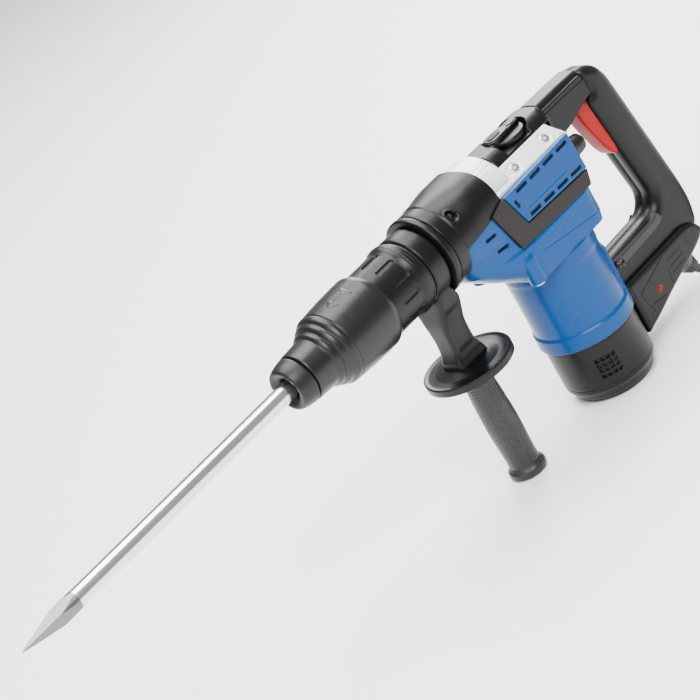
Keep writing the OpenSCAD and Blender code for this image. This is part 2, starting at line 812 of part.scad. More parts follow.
module cable_boot() {
  color([0.1, 0.1, 0.11]) at_tool() translate([0, 0, -drop]) {
    translate(boot_at) rotate([0, 145, 0]) cylinder(h = 12, r = 8);
    difference() {
      translate(boot_at) rotate([0, 145, 0]) {
        translate([0, 0, 3]) cylinder(h = 14, r = 13);
        translate([0, 0, 17]) cylinder(h = 17, r1 = 12, r2 = cord_r + 2.5);
      }
      translate([0, 40, 0]) rotate([90, 0, 0]) linear_extrude(height = 80)
        polygon([[300, -150], [425, -150], [425, -172], [412, -183], [396, -189], [350, -201.5], [322, -211], [300, -217]]);
      for (i = [0:2]) translate(boot_at) rotate([0, 145, 0]) translate([0, 0, 21 + i * 4]) difference() {
        cylinder(h = 1.6, r = 16);
        translate([0, 0, -1]) cylinder(h = 4, r = cord_r + 2);
      }
    }
  }
}

// ---- mode selector ----
module selector_knob() {
  color([0.12, 0.12, 0.13]) at_tool() difference() {
    union() {
      translate([278, 0, 26.4]) cylinder(h = 4, r = 20.5);
      translate([278, 0, 30]) linear_extrude(height = 7) {
        translate([-14, 0]) circle(r = 9);
        translate([14, 0]) circle(r = 7);
        polygon([[-14, -9], [14, -7], [14, 7], [-14, 9]]);
      }
      translate([278, 0, 20.4]) cylinder(h = 7, r = 6);
    }
    translate([278, 0, 32]) linear_extrude(height = 9) {
      translate([-16, 0]) circle(r = 4 + fit_play);
      translate([-8, 0]) circle(r = 4 + fit_play);
      polygon([[-16, -4 - fit_play], [-8, -4 - fit_play], [-8, 4 + fit_play], [-16, 4 + fit_play]]);
    }
  }
}

module selector_button() {
  color([0.18, 0.18, 0.19]) at_tool() translate([278, 0, 35]) linear_extrude(height = 3.4) {
    translate([-16, 0]) circle(r = 4);
    translate([-8, 0]) circle(r = 4);
    polygon([[-16, -4], [-8, -4], [-8, 4], [-16, 4]]);
  }
}

// ---- front grip ----
module clamp_band() {
  color([0.12, 0.12, 0.13]) at_tool() difference() {
    union() {
      ring_x(107.5, 127.5, band_r, neck_r + fit_play);
    }
  }
}

module handle_arm() {
  color([0.11, 0.11, 0.12]) at_tool() difference() {
    union() {
      intersection() {
        side([[107.5, -18], [127.5, -18], [136, -44], [131, -66], [131, -90], [134, -97], [100, -97], [104, -80],
          [103, -58]], -24, 24);
        section([[-24, -10], [-21, -34], [-15, -52], [-12, -70], [-12, -97], [12, -97], [12, -70], [15, -52],
          [21, -34], [24, -10]], 95, 140);
      }
      box([98, -15, disc_z], [136, 15, -95]);
    }
    bar_x(90, 127.5 + 0.3, band_r);
    bar_x(127.5, 150, 42);
    bar_z(grip_x, 0, disc_z - 1, -38, 4.05);
  }
}

module guard_disc() {
  color([0.11, 0.11, 0.12]) at_tool() difference() {
    union() {
      translate([grip_x, 0, disc_z - 11]) cylinder(h = 3, r1 = guard_diameter / 2 - 2, r2 = guard_diameter / 2 + 0.5);
      bar_z(grip_x, 0, disc_z - 8, disc_z - 3, guard_diameter / 2 + 0.5);
      bar_z(grip_x, 0, disc_z - 9, disc_z, 20);
    }
    difference() {
      translate([grip_x, 0, disc_z - 5]) cylinder(h = 3, r1 = guard_diameter / 2 - 7, r2 = guard_diameter / 2 - 4);
      bar_z(grip_x, 0, disc_z - 6, disc_z + 2, 20);
    }
    difference() {
      translate([grip_x, 0, disc_z - 12]) cylinder(h = 4.5, r1 = guard_diameter / 2 - 5, r2 = guard_diameter / 2 - 7);
      bar_z(grip_x, 0, disc_z - 13, disc_z, 20);
    }
    bar_z(grip_x, 0, disc_z - 13, disc_z + 1, 4.05);
  }
}

module front_grip() {
  color([0.12, 0.12, 0.13]) at_tool() difference() {
    union() {
      bar_z(grip_x, 0, disc_z - 17, disc_z - 11.3, grip_diameter / 2 + 2);
      translate([grip_x, 0, base_z + 62]) cylinder(h = disc_z - 17 - base_z - 62, r1 = grip_diameter / 2 + 1.7, r2 = grip_diameter / 2);
      translate([grip_x, 0, base_z + 12]) cylinder(h = 50, r1 = grip_diameter / 2 + 0.5, r2 = grip_diameter / 2 + 1.7);
      translate([grip_x, 0, base_z + 4]) cylinder(h = 8, r1 = grip_diameter / 2 + 4, r2 = grip_diameter / 2 + 0.5);
      bar_z(grip_x, 0, base_z, base_z + 4, grip_diameter / 2 + 4);
    }
    bar_z(grip_x, 0, disc_z - 40, disc_z - 6, 4);
  }
}

module clamp_rod() {
  color([0.7, 0.71, 0.73]) at_tool() bar_z(grip_x, 0, disc_z - 40, -40, 4);
}

// ---- cord ----
function minus(a, b) = [a[0] - b[0], a[1] - b[1], a[2] - b[2]];
function plus(a, b) = [a[0] + b[0], a[1] + b[1], a[2] + b[2]];
function times(a, k) = [a[0] * k, a[1] * k, a[2] * k];
function unit(a) = times(a, 1 / norm(a));
function tangent(p, i) = unit(minus(p[min(i + 1, len(p) - 1)], p[max(i - 1, 0)]));
function across(t) = unit(cross(t, [0, 1, 0.02]));
function ring_point(p, i, k, n, r) =
  plus(p[i], plus(times(across(tangent(p, i)), r * cos(360 * k / n)),
    times(cross(tangent(p, i), across(tangent(p, i))), r * sin(360 * k / n))));

module tube(path, r, n) {
  rings = len(path);
  points = [for (i = [0:rings - 1]) for (k = [0:n - 1]) ring_point(path, i, k, n, r)];
  walls = [for (i = [0:rings - 2]) for (k = [0:n - 1])
    [i * n + k, i * n + (k + 1) % n, (i + 1) * n + (k + 1) % n, (i + 1) * n + k]];
  ends = [[for (k = [n - 1:-1:0]) k], [for (k = [0:n - 1]) (rings - 1) * n + k]];
  polyhedron(points = points, faces = concat(walls, ends), convexity = 6);
}

module cord() {
  color([0.08, 0.08, 0.08]) at_floor() {
    tube(cord_path, cord_r, 12);
    tube(tail_path, cord_r, 12);
  }
}

module cord_coil() {
  color([0.09, 0.09, 0.09]) at_floor() translate([coil_centre[0], coil_centre[1], coil_thick])
    rotate_extrude($fn = 48) translate([coil_radius, 0]) circle(r = coil_thick, $fn = 24);
}

module mains_plug() {
  color([0.1, 0.1, 0.1]) at_floor() translate([690, 27.5, 17.5]) rotate([0, 90, 0]) {
    cylinder(h = 26, r1 = cord_r + 1.5, r2 = 10);
    translate([0, 0, 26]) cylinder(h = 26, r = 17.5);
    for (s = [-1, 1]) translate([0, s * 9.5, 52]) cylinder(h = 19, r = 2.4);
  }
}

chisel();
dust_cap();
tool_holder();
locking_rollers();
locking_sleeve();
sleeve_spring();
slotted_collar();
hammer_tube();
bevel_ring_gear();
striker();
impact_bolt();
piston();
wrist_pin();
connecting_rod();
crank_gear();
idler_shaft();
armature_shaft();
armature_core();
commutator();
cooling_fan();
stator_core();
stator_windings();
brush_holders();
carbon_brushes();
drive_bearings();
motor_housing();
motor_end_cap();
barrel();
front_seal();
spindle_bearings();
front_cover();
gear_housing();
body_screws();
top_cover();
vent_cover_left();
vent_cover_right();
side_bands();
gear_shroud();
rear_bumpers();
handle_shell_left();
handle_shell_right();
soft_grip();
handle_screws();
trigger();
trigger_spring();
switch_module();
speed_electronics();
speed_wheel();
wheel_pin();
cable_boot();
selector_knob();
selector_button();
clamp_band();
handle_arm();
guard_disc();
front_grip();
clamp_rod();
cord();
cord_coil();
mains_plug();
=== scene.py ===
import json
import math

import bpy
import numpy as np
from mathutils import Matrix, Vector

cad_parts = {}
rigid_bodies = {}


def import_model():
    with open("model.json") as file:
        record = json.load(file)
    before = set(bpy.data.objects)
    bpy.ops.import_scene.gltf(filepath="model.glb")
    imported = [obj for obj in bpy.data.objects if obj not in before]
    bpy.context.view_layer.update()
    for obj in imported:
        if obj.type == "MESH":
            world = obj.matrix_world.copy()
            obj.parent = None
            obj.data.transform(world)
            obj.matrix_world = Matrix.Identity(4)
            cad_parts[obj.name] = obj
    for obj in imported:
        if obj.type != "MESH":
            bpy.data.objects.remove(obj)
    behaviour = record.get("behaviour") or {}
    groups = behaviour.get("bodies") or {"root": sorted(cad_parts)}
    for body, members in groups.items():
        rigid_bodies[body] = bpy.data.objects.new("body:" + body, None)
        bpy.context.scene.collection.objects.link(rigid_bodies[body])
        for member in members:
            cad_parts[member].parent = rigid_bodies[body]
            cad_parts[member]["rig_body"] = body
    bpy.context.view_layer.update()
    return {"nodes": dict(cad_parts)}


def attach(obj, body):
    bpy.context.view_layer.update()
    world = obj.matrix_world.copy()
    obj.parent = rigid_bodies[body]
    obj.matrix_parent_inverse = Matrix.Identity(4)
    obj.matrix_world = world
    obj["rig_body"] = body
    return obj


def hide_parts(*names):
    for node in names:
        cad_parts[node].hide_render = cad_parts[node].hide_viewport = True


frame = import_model()
print("frame loaded with", len(frame["nodes"]), "nodes")

# tool millimetres: x from the rear ridge of the chuck, z from the hammer axis
origin = {"midX": 15.0, "axisHeight": 234.0, "unit": 0.001}


def toRow(points):
    # tool millimetres to metres in the shared frame
    p = np.array(points, float)
    p[..., 0] -= origin["midX"]
    p[..., 2] += origin["axisHeight"]
    return p * origin["unit"]


# camera: looks from the front left and a little above, rolled so that the tool runs up to the right
cameraSettings = {"back": (-0.49, -0.777, 0.395), "distance": 2.509, "lens": 147.75, "roll": 44.75,
                  "sideStep": 0.0162, "upStep": -0.0019}


def makeCamera(s):
    # the view axes are rolled until the hammer axis runs at the set angle across the frame
    away = Vector(s["back"]).normalized()
    forward = -away
    right = forward.cross(Vector((0, 0, 1))).normalized()
    up = right.cross(forward)
    slope = math.atan2(Vector((1, 0, 0)).dot(up), Vector((1, 0, 0)).dot(right))
    turn = math.radians(s["roll"]) - slope
    rolledRight = right * math.cos(turn) - up * math.sin(turn)
    rolledUp = right * math.sin(turn) + up * math.cos(turn)
    data = bpy.data.cameras.new("mainCamera")
    data.lens, data.sensor_width = s["lens"], 36
    data.clip_start, data.clip_end = 0.1, 30
    cam = bpy.data.objects.new("mainCamera", data)
    bpy.context.scene.collection.objects.link(cam)
    target = Vector(toRow((0, 0, 0)))
    place = target + away * s["distance"] + rolledRight * s["sideStep"] + rolledUp * s["upStep"]
    basis = Matrix((rolledRight, rolledUp, away)).transposed().to_4x4()
    cam.matrix_world = Matrix.Translation(place) @ basis
    bpy.context.scene.camera = cam


makeCamera(cameraSettings)
print("camera placed")


# shader groups and materials
def newGroup(name, inputs, outputs):
    g = bpy.data.node_groups.new(name, "ShaderNodeTree")
    for label, kind, value in inputs:
        socket = g.interface.new_socket(label, in_out="INPUT", socket_type=kind)
        if value is not None:
            socket.default_value = value
    for label, kind in outputs:
        g.interface.new_socket(label, in_out="OUTPUT", socket_type=kind)
    return g, g.nodes.new("NodeGroupInput"), g.nodes.new("NodeGroupOutput")


def makeGrainGroup():
    # fine moulded grain: noise of the object position, as a bump and as a tone from 0 to 1
    g, gin, gout = newGroup("mouldedGrain", [("Scale", "NodeSocketFloat", 900.0),
                                             ("Strength", "NodeSocketFloat", 0.1)],
                            [("Normal", "NodeSocketVector"), ("Tone", "NodeSocketFloat")])
    pos = g.nodes.new("ShaderNodeTexCoord")
    noise = g.nodes.new("ShaderNodeTexNoise")
    noise.inputs["Detail"].default_value = 3
    broad = g.nodes.new("ShaderNodeTexNoise")
    broad.inputs["Scale"].default_value = 14
    bump = g.nodes.new("ShaderNodeBump")
    bump.inputs["Distance"].default_value = 0.0004
    g.links.new(pos.outputs["Object"], noise.inputs["Vector"])
    g.links.new(pos.outputs["Object"], broad.inputs["Vector"])
    g.links.new(gin.outputs["Scale"], noise.inputs["Scale"])
    g.links.new(gin.outputs["Strength"], bump.inputs["Strength"])
    g.links.new(noise.outputs["Fac"], bump.inputs["Height"])
    g.links.new(bump.outputs["Normal"], gout.inputs["Normal"])
    g.links.new(broad.outputs["Fac"], gout.inputs["Tone"])
    return g


def makePaintedShadeGroup():
    # painted shade of sunk places: the base colour mixed with a dark one by the piece's cut attribute
    g, gin, gout = newGroup("paintedSunkShade", [("Color", "NodeSocketColor", (1, 1, 1, 1)),
                                          ("Dark", "NodeSocketColor", (0.004, 0.004, 0.005, 1))],
                            [("Color", "NodeSocketColor"), ("Cut", "NodeSocketFloat")])
    cut = g.nodes.new("ShaderNodeAttribute")
    cut.attribute_name = "cut"
    mix = g.nodes.new("ShaderNodeMix")
    mix.data_type = "RGBA"
    g.links.new(cut.outputs["Fac"], mix.inputs[0])
    g.links.new(gin.outputs["Color"], mix.inputs[6])
    g.links.new(gin.outputs["Dark"], mix.inputs[7])
    g.links.new(mix.outputs[2], gout.inputs["Color"])
    g.links.new(cut.outputs["Fac"], gout.inputs["Cut"])
    return g


grainGroup, paintedShadeGroup = makeGrainGroup(), makePaintedShadeGroup()
materialSettings = {
    "bluePlastic": {"color": (0.0, 0.046, 0.18), "rough": 0.28, "coat": 0.08, "spec": 0.14,
                    "grain": (700, 0.03)},
    "blackPlastic": {"color": (0.003, 0.003, 0.0034), "rough": 0.34, "spec": 0.22, "grain": (1500, 0.12)},
    "sleevePlastic": {"color": (0.006, 0.006, 0.0064), "rough": 0.33, "spec": 0.3, "grain": (1300, 0.06)},
    "gripRubber": {"color": (0.003, 0.003, 0.0034), "rough": 0.38, "spec": 0.22, "grain": (1200, 0.2)},
    "dimpledRubber": {"color": (0.01, 0.01, 0.0105), "rough": 0.4, "spec": 0.4, "dimples": 330},
    "softRubber": {"color": (0.03, 0.03, 0.032), "rough": 0.6, "spec": 0.3, "grain": (1600, 0.25)},
    "capRubber": {"color": (0.004, 0.004, 0.004), "rough": 0.42, "spec": 0.3, "grain": (900, 0.1)},
    "darkBand": {"color": (0.009, 0.007, 0.005), "rough": 0.42, "spec": 0.2, "grain": (1500, 0.12)},
    "castAluminium": {"color": (0.78, 0.79, 0.8), "rough": 0.42, "metal": 0.35, "grain": (500, 0.08)},
    "polishedSteel": {"color": (0.72, 0.73, 0.75), "rough": 0.16, "metal": 1, "grain": (220, 0.015)},
    "groundSteel": {"color": (0.16, 0.16, 0.165), "rough": 0.36, "metal": 1, "grain": (400, 0.08)},
    "screwSteel": {"color": (0.6, 0.61, 0.63), "rough": 0.25, "metal": 1, "grain": (500, 0.03)},
    "machinedSteel": {"color": (0.42, 0.43, 0.45), "rough": 0.3, "metal": 1, "grain": (300, 0.04)},
    "coreSteel": {"color": (0.16, 0.16, 0.17), "rough": 0.55, "metal": 1, "grain": (600, 0.1)},
    "copper": {"color": (0.55, 0.2, 0.09), "rough": 0.3, "metal": 1, "grain": (500, 0.05)},
    "brass": {"color": (0.5, 0.35, 0.1), "rough": 0.3, "metal": 1, "grain": (500, 0.04)},
    "carbon": {"color": (0.02, 0.02, 0.022), "rough": 0.7, "grain": (900, 0.2)},
    "redPlastic": {"color": (0.3, 0.001, 0.002), "rough": 0.34, "coat": 0.04, "spec": 0.15,
                   "grain": (900, 0.05)},
    "circuitBoard": {"color": (0.02, 0.13, 0.05), "rough": 0.4, "grain": (400, 0.05)},
    "cordRubber": {"color": (0.005, 0.005, 0.0055), "rough": 0.42, "spec": 0.4, "grain": (900, 0.08)},
}


def makeMaterial(name, s):
    # one shader with the shared grain, the painted shade of sunk places, and its own constant values
    m = bpy.data.materials.new(name)
    m.use_nodes = True
    nodes, links = m.node_tree.nodes, m.node_tree.links
    shader = nodes["Principled BSDF"]
    shader.inputs["Metallic"].default_value = s.get("metal", 0)
    shader.inputs["Coat Weight"].default_value = s.get("coat", 0)
    shader.inputs["Coat Roughness"].default_value = 0.08
    shader.inputs["Specular IOR Level"].default_value = s.get("spec", 0.5)
    # painted shade: the base colour is darkened in sunk places by the cut attribute
    sunk = nodes.new("ShaderNodeGroup")
    sunk.node_tree = paintedShadeGroup
    sunk.inputs["Color"].default_value = (*s["color"], 1)
    links.new(sunk.outputs["Color"], shader.inputs["Base Color"])
    grain = nodes.new("ShaderNodeGroup")
    grain.node_tree = grainGroup
    grain.inputs["Scale"].default_value, grain.inputs["Strength"].default_value = s.get("grain", (900, 0.1))
    # roughness is the setting plus or minus a little with the broad tone
    spread = nodes.new("ShaderNodeMapRange")
    spread.inputs["To Min"].default_value = max(0.05, s["rough"] - 0.05)
    spread.inputs["To Max"].default_value = s["rough"] + 0.05
    links.new(grain.outputs["Tone"], spread.inputs["Value"])
    links.new(spread.outputs["Result"], shader.inputs["Roughness"])
    if "dimples" in s:
        # round pits: the distance to the nearest cell point, cut at a small radius, as a bump
        pos = nodes.new("ShaderNodeTexCoord")
        cells = nodes.new("ShaderNodeTexVoronoi")
        cells.inputs["Scale"].default_value = s["dimples"]
        cells.inputs["Randomness"].default_value = 0.25
        pit = nodes.new("ShaderNodeMapRange")
        pit.interpolation_type = "SMOOTHSTEP"
        pit.inputs["From Min"].default_value, pit.inputs["From Max"].default_value = 0.2, 0.45
        bump = nodes.new("ShaderNodeBump")
        bump.inputs["Strength"].default_value, bump.inputs["Distance"].default_value = 0.7, 0.0007
        links.new(pos.outputs["Object"], cells.inputs["Vector"])
        links.new(cells.outputs["Distance"], pit.inputs["Value"])
        links.new(pit.outputs["Result"], bump.inputs["Height"])
        links.new(grain.outputs["Normal"], bump.inputs["Normal"])
        links.new(bump.outputs["Normal"], shader.inputs["Normal"])
    else:
        links.new(grain.outputs["Normal"], shader.inputs["Normal"])
    return m


materials = {name: makeMaterial(name, s) for name, s in materialSettings.items()}
print("materials made:", len(materials))


# surface tools
def roundCorners(points, radius, steps=5, closed=False):
    # each corner becomes a quadratic arc: (1-t)^2 from + 2t(1-t) corner + t^2 to
    p = np.asarray(points, float)
    n, out = len(p), []
    for i in range(n):
        if not closed and i in (0, n - 1):
            out.append(p[i])
            continue
        a, b, c = p[i - 1], p[i], p[(i + 1) % n]
        la, lc = np.linalg.norm(a - b), np.linalg.norm(c - b)
        cut = min(radius[i] if hasattr(radius, "__len__") else radius, 0.45 * la, 0.45 * lc)
        t = np.linspace(0, 1, steps + 1)[:, None]
        out.extend((1 - t) ** 2 * (b + (a - b) * cut / la) + 2 * t * (1 - t) * b + t**2
                   * (b + (c - b) * cut / lc))
    return np.array(out)


def dense(points, step, closed=False):
    # every stretch is divided evenly into parts no longer than the step
    p = np.asarray(points, float)
    if closed:
        p = np.vstack([p, p[:1]])
    lengths = np.linalg.norm(np.diff(p, axis=0), axis=1)
    parts = [p[i] + (p[i + 1] - p[i]) * np.linspace(0, 1, max(1, math.ceil(d / step)),
                                                    endpoint=False)[:, None]
             for i, d in enumerate(lengths)]
    out = np.vstack(parts)
    return out if closed else np.vstack([out, p[-1:]])


def smoothPath(points, count):
    # a smooth line through the points: cubic pieces whose tangents are half the step between neighbours
    p = np.asarray(points, float)
    t = np.linspace(0, len(p) - 1.000001, count)
    i = t.astype(int)
    f = (t - i)[:, None]
    q = np.vstack([2 * p[:1] - p[1:2], p, 2 * p[-1:] - p[-2:-1]])
    a, b, c, d = q[i], q[i + 1], q[i + 2], q[i + 3]
    return 0.5 * (2 * b + (c - a) * f + (2 * a - 5 * b + 4 * c - d) * f**2 + (3 * b - a - 3 * c + d) * f**3)


def gridFaces(rows, cols, wrapRows=False, wrapCols=False, start=0):
    r, c = np.arange(rows if wrapRows else rows - 1), np.arange(cols if wrapCols else cols - 1)
    a, b = np.meshgrid(r, c, indexing="ij")
    a2, b2 = (a + 1) % rows, (b + 1) % cols
    return (np.stack([a * cols + b, a * cols + b2, a2 * cols + b2, a2 * cols + b], -1).reshape(-1, 4)
            + start).tolist()


def power(v, e):
    # the sign kept, the size raised to the power e
    return np.sign(v) * np.abs(v) ** e


def smooth(v, low, high):
    # 0 below low, 1 above high, and t^2 (3 - 2t) between
    t = np.clip((v - low) / (high - low), 0, 1)
    return t * t * (3 - 2 * t)


def boxField(x, z, centre, half, corner, turn=0.0):
    # signed distance to a box with round corners, in its own turned frame
    c, s = math.cos(turn), math.sin(turn)
    dx, dz = x - centre[0], z - centre[1]
    u, v = np.abs(dx * c + dz * s) - half[0] + corner, np.abs(-dx * s + dz * c) - half[1] + corner
    return np.hypot(np.maximum(u, 0), np.maximum(v, 0)) + np.minimum(np.maximum(u, v), 0) - corner


def insetRing(outline, inward, depth):
    # points moved inward by the depth; where the ring would fold over itself the points are drawn together
    p = outline + inward * depth
    if depth < 0.3:
        return p
    near = np.sqrt(((p[:, None] - outline[None]) ** 2).sum(2)).min(1)
    good = np.flatnonzero(near > 0.97 * depth - 0.03)
    if len(good) < 3:
        return p
    i = np.arange(len(p))
    return np.stack([np.interp(i, good, p[good, k], period=len(p)) for k in (0, 1)], 1)


def inwardOf(o):
    # unit normals of a closed outline: the tangent turned a quarter, toward the enclosed side
    tangent = np.roll(o, -1, 0) - np.roll(o, 1, 0)
    tangent /= np.linalg.norm(tangent, axis=1)[:, None] + 1e-9
    area = np.sum(o[:, 0] * np.roll(o[:, 1], -1) - np.roll(o[:, 0], -1) * o[:, 1])
    return np.stack([-tangent[:, 1], tangent[:, 0]], 1) * (1 if area > 0 else -1)


class Shape:
    def __init__(self):
        self.points, self.faces, self.cuts, self.count = [], [], [], 0

    def grid(self, points, wrapRows=False, wrapCols=False, capFirst=False, capLast=False, cut=None):
        rows, cols = points.shape[:2]
        self.faces += gridFaces(rows, cols, wrapRows, wrapCols, self.count)
        if capFirst:
            self.faces.append(list(range(self.count, self.count + cols)))
        if capLast:
            self.faces.append(list(range(self.count + (rows - 1) * cols, self.count + rows * cols)))
        self.points.append(points.reshape(-1, 3))
        # the cut values are the painted shade of sunk places, carried to the piece's cut attribute
        self.cuts.append(np.zeros(rows * cols) if cut is None else np.asarray(cut, float).reshape(-1))
        self.count += rows * cols
        return self

    def turned(self, profile, axis="x", at=(0, 0), segments=96, relief=None, cap=True, origin3=None,
               direction=None):
        # point = place along the line + radius (cos, sin) of the angle, with the relief added to the radius
        p = np.asarray(profile, float)
        ang = np.arange(segments) * 2 * math.pi / segments
        along, ang = np.meshgrid(p[:, 0], ang, indexing="ij")
        rad = np.repeat(p[:, 1:2], segments, 1)
        cut = np.zeros_like(rad)
        if relief is not None:
            change = relief(along, ang, rad)
            rad = rad + change
            # where the relief sinks the surface, its depth becomes the cut mask: painted shade, darker the
            # deeper
            cut = np.clip(-change / 1.2, 0, 1)
        a, b = rad * np.cos(ang), rad * np.sin(ang)
        if direction is not None:
            d = Vector(direction).normalized()
            side = np.array(d.orthogonal().normalized())
            other = np.cross(np.array(d), side)
            across = a[..., None] * side + b[..., None] * other
            pts = np.array(origin3, float) + along[..., None] * np.array(d) + across
        elif axis == "x":
            pts = np.stack([along, a + at[0], b + at[1]], -1)
        else:
            pts = np.stack([a + at[0], b + at[1], along], -1)
        return self.grid(pts, wrapCols=True, capFirst=cap, capLast=cap, cut=cut)

    def pillow(self, outline, y0, y1, edge, steps=5, swap=None):
        # a closed outline drawn from y0 to y1 with both rims rounded by edge
        o = np.asarray(outline, float)
        inward = inwardOf(o)
        t = np.linspace(0, math.pi / 2, steps + 1)
        offset = np.concatenate([edge * (1 - np.sin(t)), edge * (1 - np.sin(t[::-1]))])
        level = np.concatenate([y0 + edge * (1 - np.cos(t)), y1 - edge * (1 - np.cos(t[::-1]))])
        ring = np.stack([insetRing(o, inward, d) for d in offset])
        y = np.repeat(level[:, None], len(o), 1)
        pts = np.stack([ring[..., 0], y, ring[..., 1]], -1)
        if swap is not None:
            pts = swap(pts)
        return self.grid(pts, wrapCols=True, capFirst=True, capLast=True)

    def plate(self, quad, face, back, step, edge=1.2, relief=None):
        # a four-cornered plate: its face is rounded down at the rim, cut by the relief, and closed back
        # to its foot
        q = np.asarray(quad, float)
        across = max(np.linalg.norm(q[1] - q[0]), np.linalg.norm(q[2] - q[3]))
        down = max(np.linalg.norm(q[3] - q[0]), np.linalg.norm(q[2] - q[1]))
        nu, nv = int(across / step) + 2, int(down / step) + 2
        u, v = np.meshgrid(np.linspace(0, 1, nu), np.linspace(0, 1, nv), indexing="ij")
        w = [((1 - u) * (1 - v))[..., None], (u * (1 - v))[..., None], (u * v)[..., None],
             ((1 - u) * v)[..., None]]
        xz = sum(k * p for k, p in zip(w, q))
        rim = np.minimum(np.minimum(u, 1 - u) * across, np.minimum(v, 1 - v) * down)
        drop = edge - np.sqrt(np.maximum(edge**2 - np.maximum(edge - rim, 0) ** 2, 0))
        cut = np.zeros_like(rim) if relief is None else relief(xz[..., 0], xz[..., 1])
        sign = 1 if back > face else -1
        y = face + sign * (drop + cut)
        pts = np.stack([xz[..., 0], y, xz[..., 1]], -1)
        full = np.pad(pts, ((1, 1), (1, 1), (0, 0)), mode="edge")
        for line in (np.s_[0, :], np.s_[-1, :], np.s_[:, 0], np.s_[:, -1]):
            full[line][..., 1] = back
        # the relief's depth is also kept as the cut mask: painted shade in the sunk places
        return self.grid(full, cut=np.pad(np.clip(cut / 1.5, 0, 1), 1))


def piece(name, shape, material, body, stands=(), sharp=38):
    # the mesh in its place, its edges sharp above an angle, riding its body for the nodes it stands for
    body = body or frame["nodes"][stands[0]]["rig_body"]
    me = bpy.data.meshes.new(name)
    me.from_pydata(toRow(np.vstack(shape.points)).tolist(), [], shape.faces)
    # the cut attribute carries the painted shade of sunk places to the material
    cut = me.attributes.new("cut", "FLOAT", "POINT")
    cut.data.foreach_set("value", np.concatenate(shape.cuts).astype(np.float32))
    me.validate()
    me.polygons.foreach_set("use_smooth", np.ones(len(me.polygons), bool))
    me.update()
    me.set_sharp_from_angle(angle=math.radians(sharp))
    me.materials.append(materials[material])
    obj = bpy.data.objects.new(name, me)
    bpy.context.scene.collection.objects.link(obj)
    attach(obj, body)
    if stands:
        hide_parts(*stands)
    return obj


# cord: lies on the floor, is wound in one tied coil beyond the view, and ends in its plug
cordSettings = {"diameter": 9.0, "length": 4.0, "centre": (578.0, -36.0), "pitch": 9.15, "floor": 5.2,
                "rows": 4, "turns": 2.75, "start": 107.0, "end": 95.0,
                "bend": {"from": (403.5, 4.6), "radius": 38.2, "angle": 55.0},
                "lead": [(439, 0, 4.6), (455, 0, 4.6), (471, 0, 4.6), (482, 0, 4.6), (491, 0.2, 4.7),
                         (500, 1, 4.8),
                         (509, 3.1, 4.9), (518, 6.8, 5), (527, 12, 5.1), (537, 18.2, 5.2), (548, 23.6, 5.2)],
                "tail": [(586, 31, 32.65), (602, 31.8, 32.3), (618, 31.8, 30.8), (634, 31, 27.8),
                         (650, 29.8, 23.8), (666, 28.4, 20.2),
                         (680, 27.7, 18.1), (694, 27.5, 17.5)]}


def coilPoints(s, mean):
    # rows of flat spirals wound inward and outward in turn, one above the other
    p, n, rows = s["pitch"], s["turns"], s["rows"]
    total = rows * n * 360 + s["start"] - s["end"]
    a = np.linspace(0, total, int(total / 3.5))
    row = np.clip(np.floor(a / (n * 360)), 0, rows - 1)
    f = np.clip((a - row * n * 360) / (n * 360), 0, 1)
    swing = np.where(row % 2 == 0, 0.5 - f, f - 0.5)
    radius = mean + n * p * swing
    lift = sum(smooth(a, k * n * 360 - 35, k * n * 360 + 35) for k in range(1, rows))
    t = np.radians(s["start"] - a)
    return np.stack([s["centre"][0] + radius * np.cos(t), s["centre"][1] + radius * np.sin(t),
                     s["floor"] + p * lift], 1)


def pathLength(p):
    return float(np.linalg.norm(np.diff(p, axis=0), axis=1).sum())


def fullCord(s):
    mean = 53.0
    b = s["bend"]
    h = np.radians(np.linspace(b["angle"], 0, 12))
    floorBend = np.stack([b["from"][0] + b["radius"] * (math.sin(h[0]) - np.sin(h)), 0 * h,
                          b["from"][1] + b["radius"] * (1 - np.cos(h))], 1)
    for _ in range(4):
        coil = coilPoints(s, mean)
        lead = smoothPath(np.vstack([floorBend, s["lead"], coil[:1], coil[3:4]]), 190)
        lead = lead[: int(np.argmin(np.linalg.norm(lead - coil[0], axis=1)))]
        tail = smoothPath(np.vstack([coil[-4:-3], coil[-1:], s["tail"]]), 90)
        tail = tail[int(np.argmin(np.linalg.norm(tail - coil[-1], axis=1))) + 1 :]
        line = np.vstack([lead, coil, tail])
        mean += (s["length"] * 1000 - pathLength(line)) / (s["rows"] * s["turns"] * 2 * math.pi)
    return line, mean


cordLine, coilMean = fullCord(cordSettings)
cordLine[:, 2] -= origin["axisHeight"]
cordRow = toRow(cordLine)
curve = bpy.data.curves.new("mainsCord", "CURVE")
curve.dimensions = "3D"
curve.bevel_depth = cordSettings["diameter"] / 2000
curve.bevel_resolution = 4
curve.use_fill_caps = True
spline = curve.splines.new("POLY")
spline.points.add(len(cordRow) - 1)
spline.points.foreach_set("co", np.column_stack([cordRow, np.ones(len(cordRow))]).astype(np.float32).ravel())
spline.use_smooth = True
curve.materials.append(materials["cordRubber"])
cordObject = bpy.data.objects.new("mainsCord", curve)
bpy.context.scene.collection.objects.link(cordObject)
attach(cordObject, "housing")
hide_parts("cord", "cord_coil")

plugSettings = {"start": 689.0, "y": 27.5, "height": 17.5 - origin["axisHeight"], "pinSpread": 9.5,
                "profile": [(0, 5.2), (3, 6.4), (16, 7.6), (22, 9.2), (27, 13.5), (33, 16.6), (38, 17.3),
                            (50, 17.3), (52.5, 16.6), (53.2, 15)],
                "pin": [(50, 2.35), (69, 2.35), (70.6, 1.8), (71, 0.8)]}


def alongPlug(profile):
    return [(plugSettings["start"] + x, r) for x, r in profile]


def plugGrooves(x, a, r):
    # rings round the tail: a softened sine of the length, between two soft steps
    along = x - plugSettings["start"]
    return -1.1 * smooth(np.sin(along * 1.6), 0.2, 0.8) * smooth(along, 2, 4) * (1 - smooth(along, 15, 17))


